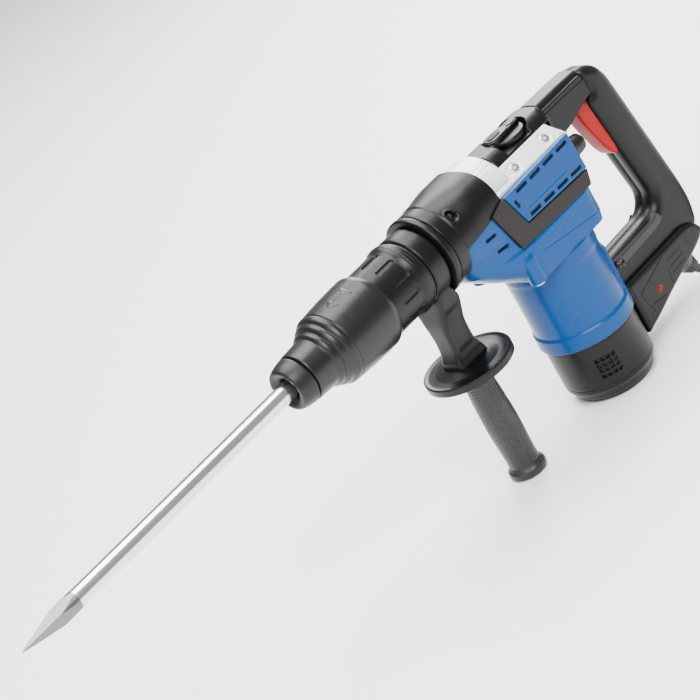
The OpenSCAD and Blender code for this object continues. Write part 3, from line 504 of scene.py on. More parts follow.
plug = Shape().turned(alongPlug(plugSettings["profile"]), at=(plugSettings["y"], plugSettings["height"]),
                      relief=plugGrooves)
plugObject = piece("mainsPlug", plug, "cordRubber", None, ("mains_plug",))
pins = Shape()
for side in (-1, 1):
    pinPlace = (plugSettings["y"] + plugSettings["pinSpread"] * side, plugSettings["height"])
    pins.turned(alongPlug(plugSettings["pin"]), at=pinPlace, segments=24)
pinObject = piece("plugPins", pins, "screwSteel", "housing")

tieSettings = {"angle": 20.0, "clear": 5.4, "over": 1.0, "rise": 0.45, "squareness": 0.55, "steps": 48,
               "widths": (-3.2, -2.6, 2.6, 3.2, 2.6, -2.6), "lifts": (0.35, 0.7, 0.7, 0.35, 0.1, 0.1)}


def makeTie(s, cord, mean):
    # a flat band round the coil: a squared ellipse, |cos|^e across and |sin|^e upward, and the band's own
    # six-sided section, whose points are lifted off the ellipse by their lifts
    turn = math.radians(s["angle"])
    lifts, widths = np.array(s["lifts"]), np.array(s["widths"])
    tall = cord["rows"] * cord["pitch"] + s["over"]
    loop = np.linspace(0, 2 * math.pi, s["steps"] + 1)[:-1, None]
    radial = (cord["turns"] * cord["pitch"] / 2 + s["clear"]) * power(np.cos(loop), s["squareness"])
    upward = tall / 2 * power(np.sin(loop), s["squareness"])
    reach = np.hypot(radial, upward)
    out = mean + radial * (1 + lifts / reach)
    height = tall / 2 + s["rise"] + upward * (1 + (lifts - 0.4) / reach)
    x = cord["centre"][0] + out * math.cos(turn) - widths * math.sin(turn)
    y = cord["centre"][1] + out * math.sin(turn) + widths * math.cos(turn)
    return Shape().grid(np.stack([x, y, height - origin["axisHeight"]], -1), wrapRows=True, wrapCols=True)


tieObject = piece("coilTie", makeTie(tieSettings, cordSettings, coilMean), "blackPlastic",
                  "housing")
print("cord laid:", round(pathLength(cordRow), 3), "m, coil mean radius", round(coilMean, 1), "mm")


# chisel: a round bar ground to a four-sided point
chiselSettings = {"radius": 9.0, "tip": -400.0, "shoulder": -336.0, "end": 24.0, "tipHalf": 0.35,
                  "turn": 20.0, "taper": 0.92, "segments": 96, "steps": 60}


def makePoint(s):
    # four flats: radius = half width of the flat / cos(angle from its middle), at most the round bar's;
    # the half width grows with the length raised to the taper
    x = np.concatenate([[s["tip"]], np.linspace(s["tip"] + 0.6, s["shoulder"], s["steps"])])[:, None]
    angle = np.arange(s["segments"]) * 2 * math.pi / s["segments"]
    share = np.minimum(1, (x - s["tip"]) / (s["shoulder"] - 1 - s["tip"]))
    half = s["tipHalf"] + (s["radius"] - s["tipHalf"]) * share ** s["taper"]
    fromFlat = np.abs(((angle - math.radians(s["turn"]) + math.pi / 4) % (math.pi / 2)) - math.pi / 4)
    r = np.minimum(s["radius"], half / np.cos(fromFlat))
    pts = np.stack([np.broadcast_to(x, r.shape), r * np.cos(angle), r * np.sin(angle)], -1)
    return Shape().grid(pts, wrapCols=True, capFirst=True, capLast=True)


def makeShank(s):
    # the round bar, with a small step down at its inner end
    x = np.linspace(s["shoulder"] + 4, s["end"] - 1, s["steps"])
    bar = [(v, s["radius"]) for v in (s["shoulder"], *x)]
    return Shape().turned(bar + [(s["end"], s["radius"] - 0.8)], segments=64)


piece("chiselPoint", makePoint(chiselSettings), "groundSteel", "chisel", sharp=20)
piece("chiselShank", makeShank(chiselSettings), "polishedSteel", None, ("chisel",))

# chuck: rubber cap, ridged locking sleeve with its arrow, slotted collar
capProfile = [(-50, 9.3), (-56, 9.7), (-59.4, 12.4), (-61.4, 16), (-62, 18.6), (-61.4, 20.3), (-59.4, 21.3),
              (-56, 22.4), (-52, 23.2), (-48.6, 23.7), (-46.6, 23.9), (-45.4, 23.5), (-44.6, 22.6),
              (-44.2, 20)]
piece("dustCap", Shape().turned(roundCorners(capProfile, 1.2, 3)), "capRubber", None,
      ("dust_cap",))
sleeveProfile = [(-43.7, 20.5), (-43.7, 23.6), (-42.6, 24.5), (-34, 24.9), (-24, 25.5), (-21.2, 25.7),
                 (-20.4, 27.2),
                 (-18.6, 28.5), (-16, 28.9), (-14.4, 28.6), (-13.9, 30.4), (-12.4, 32), (-9.8, 32.9),
                 (-8, 32.8),
                 (-7.4, 34.2), (-5.8, 35.6), (-3.4, 36.3), (-1.4, 36.1), (-0.9, 35.3), (0.2, 35.4),
                 (0.8, 36.3),
                 (8, 36.9), (14, 37.2), (20, 37.6), (26, 37.8), (38, 38.1), (49, 38.2), (51.5, 37.8),
                 (55.2, 36.1),
                 (56, 35.6), (56, 35.0), (44, 35.0)]


def arrowRelief(x, a, r):
    # a raised arrow on the unrolled sleeve: the union of a stem, a wedge and a short crossbar
    s = r * (a - math.radians(108))
    stem = boxField(x, s, (25.5, 0), (6.5, 1.5), 0.4)
    head = np.maximum(np.abs(s) - (x - 10) * 0.75, x - 18.5)
    lap = boxField(x, s, (34.5, 0), (1.1, 6.0), 0.3)
    return 0.4 * (1 - smooth(np.minimum(np.minimum(stem, head), lap), -0.3, 0.3))


sleeve = Shape().turned(dense(roundCorners(sleeveProfile, 0.8, 3), 0.55), segments=256, relief=arrowRelief,
                        cap=False)
piece("lockingSleeve", sleeve, "sleevePlastic", None, ("locking_sleeve",), sharp=50)


def collarSlots(x, a, r):
    # twelve sunk slots: the angle folded into one twelfth of a turn, then a long round-cornered box
    s = r * (((a - math.radians(3) + math.pi / 12) % (math.pi / 6)) - math.pi / 12)
    return -1.9 * (1 - smooth(boxField(x, s, (78, 0), (10.4, 2.6), 2.2), -0.5, 0.4)) * (x > 60)


collarProfile = [(46.4, 30), (46.4, 34.1), (47.2, 34.6), (88.5, 34.6), (91.4, 35.3), (94, 36.4), (95.4, 36.8),
                 (96.2, 36.3), (97, 36.8), (99.4, 36.8), (100.1, 36.3), (100.8, 36.6), (103, 36.1),
                 (104, 35.2), (104, 31)]
collar = Shape().turned(dense(roundCorners(collarProfile, 0.4, 2), 0.6), segments=360, relief=collarSlots,
                        cap=False)
piece("slottedCollar", collar, "blackPlastic", None, ("slotted_collar",), sharp=50)
piece("frontSeal", Shape().turned([(104.4, 30), (104.4, 33.6), (105, 34.2), (106.4, 34.2), (107, 33.6),
                                   (107, 30)], cap=False),
      "capRubber", None, ("front_seal",))
flange = [(106.5, 30.8), (128, 30.8), (129.2, 34), (129.5, 39.8), (130.4, 41.1), (133, 41.4), (135.4, 41.3),
          (136.6, 40.4), (137.2, 36)]
piece("barrelNeck", Shape().turned(roundCorners(flange, 0.4, 2), cap=False), "blackPlastic",
      None, ("barrel",))
print("chuck made")

# front grip: clamp band, arm, dished guard and dimpled grip
bandProfile = [(107.6, 31.4), (107.6, 34.4), (108.6, 35.5), (110, 35.8), (125, 35.8), (126.6, 35.5),
               (127.5, 34.4), (127.5, 31.4)]
bandShape = Shape().turned(roundCorners(bandProfile, 0.5, 2), cap=False)
piece("clampBand", bandShape, "blackPlastic", None, ("clamp_band",))

armSettings = {"rows": [(-16, 109, 127, 22.5), (-26, 108, 127.5, 23.5), (-34, 106.5, 131, 23),
                        (-42, 105.5, 134, 20.5),
                        (-50, 104.5, 134.2, 17.5), (-58, 103.6, 133, 15), (-66, 103.4, 131.6, 13.2),
                        (-76, 103.4, 131, 12.4),
                        (-86, 102.4, 131, 12.4), (-93, 100.5, 132.4, 13.2), (-97, 99, 134, 14.2),
                        (-101, 98.4, 135.4, 15),
                        (-104, 98.2, 135.8, 15.2)],
               "exponent": 7.0, "levels": 70, "columns": 72, "panel": 1.0}


def makeArm(s):
    # each height has a squared ellipse, |cos|^e along and |sin|^e across, with a shallow panel sunk into
    # both sides
    rows = smoothPath(s["rows"], s["levels"])
    loop = np.arange(s["columns"]) * 2 * math.pi / s["columns"]
    z, front, rear, wide = (rows[:, k : k + 1] for k in range(4))
    middle, half = (front + rear) / 2, (rear - front) / 2
    e = 2 / s["exponent"]
    x = middle + half * power(np.cos(loop), e)
    y = wide * power(np.sin(loop), e)
    onSide = smooth(np.abs(np.sin(loop)), 0.9, 0.97)[None] * smooth(-z, 44, 52) * (1 - smooth(-z, 84, 90))
    inPanel = 1 - smooth(np.abs(x - middle) / half, 0.62, 0.74)
    y -= np.sign(y) * s["panel"] * onSide * inPanel
    pts = np.stack([x, y, np.broadcast_to(z, x.shape)], -1)
    return Shape().grid(pts, wrapCols=True, capFirst=True, capLast=True)


piece("handleArm", makeArm(armSettings), "blackPlastic", None, ("handle_arm",), sharp=60)
discProfile = [(-103.2, 15), (-103.4, 20), (-104.4, 24), (-106.6, 32), (-106.9, 40), (-106, 43.4),
               (-106.3, 44.4), (-107.2, 44.8),
               (-113.4, 44.6), (-114, 44), (-113.6, 42.6), (-111, 40), (-109.6, 30), (-109.8, 18), (-110, 12)]
disc = Shape().turned(dense(roundCorners(discProfile, 1.2, 4), 3), axis="z", at=(117, 0), segments=128,
                      cap=False)
piece("guardDisc", disc, "blackPlastic", None, ("guard_disc",), sharp=50)
gripProfile = [(-114.4, 10), (-114.4, 15.6), (-115, 16.5), (-118.6, 16.6), (-119.8, 15.6), (-121, 14.6),
               (-126, 14.6),
               (-136, 14.9), (-150, 15.6), (-164, 16.2), (-176, 16.4), (-190, 16.1), (-204, 15.5),
               (-216, 15.1), (-222, 15.3),
               (-224.6, 16.8), (-226, 18.2), (-227.6, 18.9), (-231, 19), (-232.8, 18.4), (-234, 16.6),
               (-234, 8)]
gripShape = Shape().turned(dense(roundCorners(gripProfile, 0.8, 3), 1.6), axis="z", at=(117, 0), segments=96)
piece("frontGrip", gripShape, "dimpledRubber", None, ("front_grip",), sharp=50)
print("front grip made")


# front cover: a round nose that grows square sides, with a through hole each side
def resample(points, count):
    d = np.concatenate([[0], np.cumsum(np.linalg.norm(np.diff(points, axis=0), axis=1))])
    at = np.linspace(0, d[-1], count)
    return np.stack([np.interp(at, d, points[:, k]) for k in range(points.shape[1])], 1)


coverSettings = {"radius": 41.5, "spread": 2.2, "hole": (158.0, 26.0), "holeHalf": 4.3, "holeDepth": 7.0,
                 "columns": 260, "lowerEdge": ([137, 143, 186, 207], [-9, -7, 0, 7.5]),
                 "ring": [(137.2, 33), (137.2, 39.6), (137.9, 40.6), (140, 40.7), (150.5, 40.7)]}


def makeCover(s):
    # radius = 1 / (|cos / half|^n + |sin / radius|^n)^(1/n), with n growing from a circle to a squarer
    # section, less the pull of its two ends and the through hole's sink
    x = np.concatenate([[137.6, 137.6, 138.2, 139.4], np.arange(140, 206, 0.7),
                        [206.4, 206.8, 206.8]])[:, None]
    pull = np.concatenate([[12, 1.6, 0.6, 0.1], np.zeros(len(x) - 7), [0.3, 0.9, 10]])[:, None]
    low = np.arcsin(np.interp(x, *s["lowerEdge"]) / s["radius"])
    angle = low + (math.pi - 2 * low) * np.linspace(0, 1, s["columns"])
    n = 2 + 0.55 * smooth(x, 150, 188)
    half = s["radius"] + s["spread"] * smooth(x, 150, 184)
    radius = 1 / ((np.abs(np.cos(angle)) / half) ** n + (np.abs(np.sin(angle)) / s["radius"]) ** n) ** (1 / n)
    radius = radius - 0.8 * (1 - smooth(x, 150.6, 151.6)) - pull
    y, z = -radius * np.cos(angle), radius * np.sin(angle)
    hole = boxField(x, z, s["hole"], (s["holeHalf"], s["holeHalf"]), s["holeHalf"] - 0.05)
    sink = s["holeDepth"] * (1 - smooth(hole, -0.8, 0.5))
    lip = 0.5 * (1 - smooth(np.abs(hole - 1.2), 0.3, 0.9))
    y = y - np.sign(y) * (sink - lip)
    # the sink's depth is kept as the cut mask: painted shade in the through holes
    cover = Shape().grid(np.stack([np.broadcast_to(x, z.shape), y, z], -1), cut=np.clip(sink / 3, 0, 1))
    return cover.turned(roundCorners(s["ring"], 0.4, 2), segments=128, cap=False)


piece("frontCover", makeCover(coverSettings), "blackPlastic", None, ("front_cover",),
      sharp=50)

# gear case: arched white nose, core block and two bright side strips with screw recesses
caseSettings = {"radius": 41.1, "arc": (22, 158), "columns": 180,
                "rearPull": ([186, 228.5, 229.6, 230.8, 231.8, 232.4, 232.6], [0, 0, 0.3, 1, 2.2, 4, 12]),
                "section": [(26.5, 23.6), (41.4, 10), (41.4, -44), (-41.4, -44), (-41.4, 10), (-26.5, 23.6)],
                "places": (204, 204, 206, 303.5, 305, 306, 306.2), "insets": (20, 3, 0, 0, 0.5, 1.8, 14)}


def makeNose(s):
    # radius round the hammer axis over an upper arc, less its rear pull, with a raised dash and fine creases
    x = np.concatenate([[186], np.arange(188, 229, 0.8), [229.6, 230.8, 231.8, 232.4, 232.6]])[:, None]
    angle = np.radians(np.linspace(*s["arc"], s["columns"]))
    across = 41 * (angle[None] - math.radians(90))
    dash = boxField(x, across, (209, 12.5), (1.1, 4.6), 0.8, 0.1)
    crease = np.abs(across - 21.5 + (x - 205) * 0.06)
    r = s["radius"] - np.interp(x, *s["rearPull"])
    r = r + 0.7 * (1 - smooth(dash, -0.5, 0.4)) - 0.5 * (1 - smooth(crease, 0.2, 0.9))
    r = r - 0.5 * (1 - smooth(np.abs(np.abs(across) - 27), 0.2, 0.9))
    return Shape().grid(np.stack([np.broadcast_to(x, r.shape), r * np.cos(angle), r * np.sin(angle)], -1))


def addCore(shape, s):
    # one section carried along x, each point drawn toward its middle by the inset of that place
    section = roundCorners(s["section"], 2.5, 4, True)
    away = section - section.mean(0)
    away /= np.linalg.norm(away, axis=1)[:, None]
    pts = section[None] - away[None] * np.array(s["insets"])[:, None, None]
    x = np.broadcast_to(np.array(s["places"])[:, None, None], (*pts.shape[:2], 1))
    return shape.grid(np.concatenate([x, pts], -1), wrapCols=True)


# the strips slope outward: normal and foot are given for the side where y is positive
stripSettings = {"screws": (244.0, 290.0), "slope": (0.6585, 0.7526), "foot": (26.0, 24.0),
                 "quad": [(209, -0.6), (304, -0.6), (310.6, 21.5), (207.2, 21.5)]}


def stripRelief(x, v):
    # a keyhole recess, a round recess and a short groove, each a soft step of its box field
    front = np.minimum(boxField(x, v, (244, 10.6), (6.4, 6.4), 6.3), boxField(x, v, (237.5, 10.6), (6.5, 3.4),
                                                                              3.3))
    rear = boxField(x, v, (290, 10.6), (6.6, 6.6), 6.5)
    groove = (1 - smooth(np.abs(v - 4.2), 0.2, 0.7)) * (1 - smooth(np.abs(x - 262), 9, 12))
    return 2.6 * (1 - smooth(front, -1.6, 0.5)) + 2.0 * (1 - smooth(rear, -1.6, 0.5)) + 0.35 * groove


def addStrip(shape, s, side):
    # a flat plate, whose depth and height are laid along the slope's normal and down it
    strip = Shape().plate(s["quad"], 0.5, -6, 0.75, 2.2, stripRelief)
    local = strip.points[0]
    normal = np.array([0, s["slope"][0] * side, s["slope"][1]])
    down = np.array([0, s["slope"][1] * side, -s["slope"][0]])
    world = np.array([0, s["foot"][0] * side, s["foot"][1]]) + local[:, 1:2] * normal + local[:, 2:3] * down
    world[:, 0] = local[:, 0]
    start = shape.count
    shape.grid(world.reshape(1, -1, 3))
    shape.faces += [[k + start for k in face] for face in strip.faces]


gearCase = addCore(makeNose(caseSettings), caseSettings)
for side in (-1, 1):
    addStrip(gearCase, stripSettings, side)
piece("gearCase", gearCase, "castAluminium", None, ("gear_housing",), sharp=45)

# side screws: button heads with a six-lobed socket
screwSettings = {"seat": (34.0, 17.0), "sink": 1.2,
                 "profile": [(0, 3.5), (0, 5.0), (1.2, 5.0), (2.0, 4.5), (2.4, 3.2), (2.4, 2.0), (0.6, 1.9),
                             (0.5, 0.1)]}


def socketLobes(z, a, r):
    # six lobes round the socket: a cosine of six times the angle, only inside it
    return np.where(r < 2.2, 0.35 * np.cos(6 * a), 0)


sideScrews = Shape()
for side in (-1, 1):
    for x in stripSettings["screws"]:
        screwAxis = np.array([0, stripSettings["slope"][0] * side, stripSettings["slope"][1]])
        seat = np.array([x, screwSettings["seat"][0] * side, screwSettings["seat"][1]])
        sideScrews.turned(screwSettings["profile"], origin3=seat - screwAxis * screwSettings["sink"],
                          direction=screwAxis, segments=48, relief=socketLobes)
piece("sideScrews", sideScrews, "screwSteel", None, ("body_screws",), sharp=35)
print("gear case made")


# top cover: rounded lid, round selector pocket, arc crease and the narrow neck
topSettings = {"pocket": (278.0, 23.4), "floor": 26.2, "front": 231.6, "rear": 376.6, "columns": 170,
               "wide": 26.0, "neckWide": 17.3, "height": 35.2, "foot": 24.0, "arcRadius": 40.0,
               "neck": [(309, 30), (309, -5), (330, -5.5), (338, 5.5), (375.8, 7.8), (375.8, 30)]}


def makeTop(s):
    # height = flat top less a rounded shoulder, raised from the foot at the front rim; the round pocket and
    # its side opening are lowered to a floor, and the last columns drop down the sides
    along = np.concatenate([[s["front"]], np.arange(232, 377, 0.55), [s["rear"]]])
    x, v = np.meshgrid(along, np.linspace(-1, 1, s["columns"]), indexing="ij")
    halfWide = s["wide"] + (s["neckWide"] - s["wide"]) * smooth(x, 309, 320)
    y = halfWide * np.sign(v) * np.minimum(1, np.abs(v) * 1.06)
    shoulder = np.clip((np.abs(y) / halfWide - 0.48) / 0.52, 0, 1)
    lid = s["height"] - 0.9 * smooth(x, 345, 376) - 10.5 * shoulder**1.9
    lid = s["foot"] + (lid - s["foot"]) * smooth(x, s["front"], 235)
    middle, radius = s["pocket"]
    fromMiddle = np.hypot(x - middle, y)
    opening = smooth(-y, 9, 12) * (1 - smooth(np.abs(x - 270), 17, 19))
    deep = np.maximum(1 - smooth(fromMiddle - radius, -0.9, 0.3), opening)
    lid = lid * (1 - deep) + np.minimum(lid, s["floor"]) * deep
    lid -= 0.9 * (1 - smooth(np.abs(fromMiddle - s["arcRadius"]), 0.3, 1.3)) * smooth(x, 290, 300)
    down = smooth(np.abs(v), 0.97, 1.0)
    z = lid * (1 - down) + np.where(x < 311, 23.2, -2 + 10 * smooth(x, 330, 376)) * down
    # the pocket and its side opening get a light painted shade through the cut mask
    top = Shape().grid(np.stack([x, y, z], -1), cut=0.35 * deep)
    return top.pillow(dense(roundCorners(s["neck"], 3, 4, True), 2, True), -16.9, 16.9, 1.2)


piece("topCover", makeTop(topSettings), "blackPlastic", None, ("top_cover",), sharp=45)


def layFlat(p):
    # the second and third places change over, so that a pillow lies flat
    return np.stack([p[..., 0], p[..., 2], p[..., 1]], -1)


def halfCircle(x, radius, start, count=28):
    a = np.linspace(start, start + math.pi, count)
    return np.stack([x + radius * np.cos(a), radius * np.sin(a)], 1)


def capsule(x0, r0, x1, r1):
    # a half circle at each end, joined by straight sides
    return np.vstack([halfCircle(x0, r0, math.pi / 2), halfCircle(x1, r1, -math.pi / 2)])


# the knob's raised parts: front end and radius, rear end and radius, foot, top and rim
knobSettings = {"centre": (278.0, 0.0), "rounding": 0.5,
                "plate": [(26.4, 16), (26.4, 19.9), (27, 20.5), (31, 20.5), (32.4, 19.6), (32.8, 18)],
                "parts": [(263, 9.6, 292, 6.4, 29.8, 37.2, 1.8), (263, 8.2, 276, 7.4, 37.0, 38.0, 0.7),
                          (288, 5.2, 293, 4.2, 37.0, 37.9, 0.5)],
                "button": (262, 3.9, 270, 3.9, 35, 39.0, 0.9)}


def addRaised(shape, part):
    return shape.pillow(capsule(*part[:4]), *part[4:], swap=layFlat)


knob = Shape().turned(roundCorners(knobSettings["plate"], knobSettings["rounding"], 3), axis="z",
                      at=knobSettings["centre"])
for part in knobSettings["parts"]:
    addRaised(knob, part)
piece("selectorKnob", knob, "blackPlastic", None, ("selector_knob",), sharp=40)
button = addRaised(Shape(), knobSettings["button"])
piece("selectorButton", button, "softRubber", None, ("selector_button",), sharp=40)
print("top made")


# blue vent covers: four slots above, four below, a short one, and a thin raised corner line
ventSettings = {"slotDepth": 2.4, "step": (20.5, 0.3), "count": 4, "upper": (230.5, 5.3),
                "lower": (232.5, -21.6),
                "half": (7.6, 1.7), "face": 48, "back": 42,
                "quad": [(207.6, 8.6), (305.6, 11.4), (307.4, -28.4), (219.4, -25.6)]}


def ventSlot(x, z, centre, half, turn):
    return ventSettings["slotDepth"] * (1 - smooth(boxField(x, z, centre, half, 0.5, turn), -0.5, 0.25))


def ventRelief(x, z):
    # the deepest of all slots at each point, less the raised line along the lower and front edges
    s = ventSettings
    cut = ventSlot(x, z, (217, -4.5), (1.7, 4.2), 0.3)
    for i in range(s["count"]):
        dx, dz = s["step"][0] * i, s["step"][1] * i
        cut = np.maximum(cut, ventSlot(x, z, (s["upper"][0] + dx, s["upper"][1] + dz), s["half"], 0.02))
        cut = np.maximum(cut, ventSlot(x, z, (s["lower"][0] + dx, s["lower"][1] - dz), s["half"], -0.02))
    line = np.minimum(boxField(x, z, (255, -16.4), (30, 0.55), 0.3, -0.01),
                      boxField(x, z, (225.4, -11), (0.55, 6), 0.3))
    return cut - 0.5 * (1 - smooth(line, -0.3, 0.3))


for side, node in ((-1, "vent_cover_left"), (1, "vent_cover_right")):
    face, back = ventSettings["face"] * side, ventSettings["back"] * side
    vent = Shape().plate(ventSettings["quad"], face, back, 0.5, 1.3, ventRelief)
    piece("ventLeft" if side < 0 else "ventRight", vent, "bluePlastic", None, (node,),
          sharp=45)
sideBandSettings = {"outline": [(207, 8.8), (186.6, 2), (200.2, -41.8), (303.8, -44.6), (307.6, -29.4),
                                (219, -26.4)],
                    "rounding": [0.6, 1.5, 1.2, 2.5, 0.8, 0.8], "inner": 40, "outer": 47.1, "edge": 0.9}
bandOutline = dense(roundCorners(sideBandSettings["outline"], sideBandSettings["rounding"], 4, True), 2, True)
bands = Shape()
for side in (-1, 1):
    low, high = sorted((sideBandSettings["inner"] * side, sideBandSettings["outer"] * side))
    bands.pillow(bandOutline, low, high, sideBandSettings["edge"])
piece("sideBands", bands, "darkBand", None, ("side_bands",), sharp=40)

# blue shroud: plan outlines at each height, from the nose under the barrel to the motor
shroudSettings = {"slots": [(177.5, -13.0), (186.0, -30.5)], "slotHalf": (6.4, 1.5), "slotDepth": 2.4,
                  "front": ([-79.4, -72, -60, -50, -42, -30, 1], [199, 190, 172.5, 160.5, 151, 145, 143.4]),
                  "rear": 308.4, "nose": 27.0, "wide": 46.5, "round": 41.4, "columns": 250,
                  "rounding": [0, 14, 26, 8, 6, 0], "bosses": (203.5, 39.0)}


def shroudPlan(s, z, inset):
    # half of the plan at one height: nose, shoulder, flank and rear corner, drawn in by the inset
    front = np.interp(z, *s["front"]) + inset
    barrel = math.sqrt(max(0.0, s["round"] ** 2 - min(z, 0) ** 2)) if z > -41 else 0
    nose = max(barrel - 1, s["nose"] - 4 * smooth(-z, 50, 79)) - inset
    rear = s["rear"] - 4 * smooth(-z, 72, 79) - inset
    wide = s["wide"] - 1.6 * smooth(z, -46, -42) - inset
    corners = [(front, 0), (front, nose), (201, wide), (297, wide), (rear, 36 - inset), (rear, 0)]
    half = resample(roundCorners(corners, s["rounding"], 9), s["columns"])
    return np.vstack([half, (half * (1, -1))[::-1][1:-1]])


def makeShroud(s):
    # plan outlines at each height, with two sunk slots and a sloping seam pressed into the sides
    levels = np.concatenate([[1], np.arange(0, -79, -0.75), [-79.2, -79.4, -79.4]])
    insets = np.concatenate([np.zeros(len(levels) - 3), [0.4, 1.2, 12]])
    rings = np.array([shroudPlan(s, z, inset) for z, inset in zip(levels, insets)])
    x, y = rings[..., 0], rings[..., 1]
    z = np.repeat(levels[:, None], rings.shape[1], 1)
    field = np.minimum(*[boxField(x, z, centre, s["slotHalf"], 0.4, -0.05) for centre in s["slots"]])
    dip = s["slotDepth"] * (1 - smooth(field, -0.5, 0.3)) * smooth(np.abs(y), 24, 28)
    seam = 0.5 * (1 - smooth(np.abs(z + 62 + 0.16 * (x - 250)), 0.2, 0.9)) * smooth(x, 212, 226)
    y = y - np.sign(y) * (dip + seam)
    # the slots' depth is kept as the cut mask: painted shade in the slots
    return Shape().grid(np.stack([x, y, z], -1), wrapCols=True, capFirst=True, cut=np.clip(dip / 1.4, 0, 1))


shroud = makeShroud(shroudSettings)
bossProfile = [(-80.5, 3), (-80.5, 8), (-79.5, 8.7), (-62, 8.7), (-54, 8), (-49.5, 6), (-47.6, 3), (-47, 0.3)]
bossPlaces = [(shroudSettings["bosses"][0], shroudSettings["bosses"][1] * side) for side in (-1, 1)]
for place in bossPlaces:
    shroud.turned(roundCorners(bossProfile, 1.4, 4), axis="z", at=place, segments=56)
piece("gearShroud", shroud, "bluePlastic", None, ("gear_shroud",), sharp=50)
bossScrewProfile = [(-80, 5.4), (-82, 5.4), (-82.8, 4.8), (-83, 2.4), (-81.8, 2.2), (-81.7, 0.2)]
bossScrews = Shape()
for place in bossPlaces:
    bossScrews.turned(bossScrewProfile, axis="z", at=place, segments=40)
piece("bossScrews", bossScrews, "screwSteel", "housing")
bumperSettings = {"places": [(-30, -12), (30, -12)], "collar": [(306, 11.4), (314, 11.4), (315, 10.8),
                                                                (315.2, 9.5)],
                  "buffer": [(306, 9.6), (322, 9.7), (327.5, 8.8), (329, 6.5), (329.2, 0.5)]}
bumpers = Shape()
for place in bumperSettings["places"]:
    bumpers.turned(roundCorners(bumperSettings["buffer"], 1.2, 4), at=place, segments=48)
    bumpers.turned(bumperSettings["collar"], at=place, segments=48)
piece("rearBumpers", bumpers, "capRubber", None, ("rear_bumpers",))
print("covers made")


# motor: glossy housing with a raised rim that climbs toward the handle, and the vented end cap
motorSettings = {"centre": (256, 0), "rimLow": -154.5, "rimClimb": 46, "rimHeight": 2.1, "capRadius": 46.5,
                 "louvres": {"low": -205.4, "step": (7.0, 5.7), "half": 1.75, "middles": (-127, 127)}}


def angleFrom(a, degrees):
    # the signed angle from a direction, between minus and plus half a turn
    return (a - math.radians(degrees) + math.pi) % (2 * math.pi) - math.pi


def motorRelief(z, a, r):
    # a raised skirt below a rim that climbs by a smooth step of the angle toward the handle
    s = motorSettings
    toHandle = np.abs(angleFrom(a, 0))
    rim = s["rimLow"] + s["rimClimb"] * (1 - smooth(toHandle, math.radians(34), math.radians(58)))
    return s["rimHeight"] * (1 - smooth(z - rim, -1.2, 1.0)) * (z < -100) * (r < 48.6)


motorProfile = [(-78.6, 44), (-78.6, 47.4), (-79.4, 48.3), (-91, 48.5), (-93.6, 47.9), (-95.4, 47.5),
                (-152, 47.5), (-169, 47.6),
                (-169.8, 47.2), (-170, 46), (-170, 43)]
motor = Shape().turned(dense(roundCorners(motorProfile, 0.6, 3), 0.9), axis="z", at=motorSettings["centre"],
                       segments=240, relief=motorRelief, cap=False)
piece("motorHousing", motor, "bluePlastic", None, ("motor_housing",), sharp=50)


def capRelief(z, a, r):
    # four by four louvres on each flank, each a small box in its own cell, and two small square pits
    s, cell = motorSettings, motorSettings["louvres"]
    radius, columnStep = s["capRadius"], math.radians(cell["step"][0])
    half = cell["half"] / radius
    cut = np.zeros_like(z)
    for middle in cell["middles"]:
        fromMiddle = angleFrom(a, middle)
        column = np.round(fromMiddle / columnStep + 0.5) - 0.5
        row = np.round((z - cell["low"]) / cell["step"][1])
        inside = (np.abs(column) < 2) & (row >= 0) & (row <= 3)
        rowOffset = (z - cell["low"] - row * cell["step"][1]) / radius
        field = boxField(fromMiddle - column * columnStep, rowOffset, (0, 0), (half, half),
                         0.4 / radius) * radius
        cut = np.maximum(cut, 2.6 * inside * (1 - smooth(field, -0.4, 0.3)))
    across = np.abs(angleFrom(a, -32)) * radius
    for centre in ((2.0, -178.5), (9.5, -175.0)):
        cut = np.maximum(cut, 2.4 * (1 - smooth(boxField(across, z, centre, (1.9, 1.9), 0.4), -0.4, 0.3)))
    return -cut


endProfile = [(-170.2, 42), (-170.2, 46.4), (-170.8, 46.9), (-171.6, 46.6), (-172.2, 46.2), (-173, 46.5),
              (-214.5, 46.5), (-215.4, 45.8),
              (-216.2, 46.3), (-220, 46.2), (-221.4, 45.3), (-222.2, 44.6), (-225, 43.4), (-225.8, 42.4),
              (-226.8, 42.4), (-229.4, 40.9),
              (-230.2, 39.9), (-231, 39.9), (-233.4, 38.2), (-234, 36.6), (-234, 20)]
endCap = Shape().turned(dense(roundCorners(endProfile, 0.5, 2), 0.75), axis="z", at=motorSettings["centre"],
                        segments=400, relief=capRelief, cap=False)
endCap.turned([(-234, 24), (-233.6, 12), (-233.5, 0.5)], axis="z", at=motorSettings["centre"], segments=64)
piece("motorEndCap", endCap, "blackPlastic", None, ("motor_end_cap",), sharp=50)
print("motor made")

# rear handle: two rounded halves, the wider switch box, soft insert and trigger
handleSettings = {"edge": 11.5, "half": 17.4, "boxHalf": 24.4,
                  "panel": [(304, -164), (402, -164.6), (403, -179.4), (304, -208.4)],
                  "outline": [(376.4, 33.6), (390, 31.5), (402, 24), (409, 10), (412, -10), (428.2, -125),
                              (429.6, -150),
                              (424.6, -172), (411.6, -182.8), (395.8, -188.8), (350, -201.2), (322, -210.6),
                              (282, -221),
                              (282, -134.6), (372, -131), (383, -126), (388.5, -114), (378.5, -50),
                              (371.5, 0), (376.4, 8)],
                  "rounding": [0.5, 14, 16, 16, 22, 26, 26, 18, 16, 14, 8, 10, 3, 3, 14, 9, 10, 30, 8, 0.5]}
shellOutline = dense(roundCorners(handleSettings["outline"], handleSettings["rounding"], 10, True), 2.5, True)
boxOutline = dense(roundCorners([(300, -160), (398, -160), (411, -165), (417, -176), (409, -183),
                                 (395.2, -188.2), (350, -200.6), (322, -210), (300, -215.6)],
                                [2, 10, 12, 12, 8, 10, 8, 10, 3], 6, True), 2.5, True)


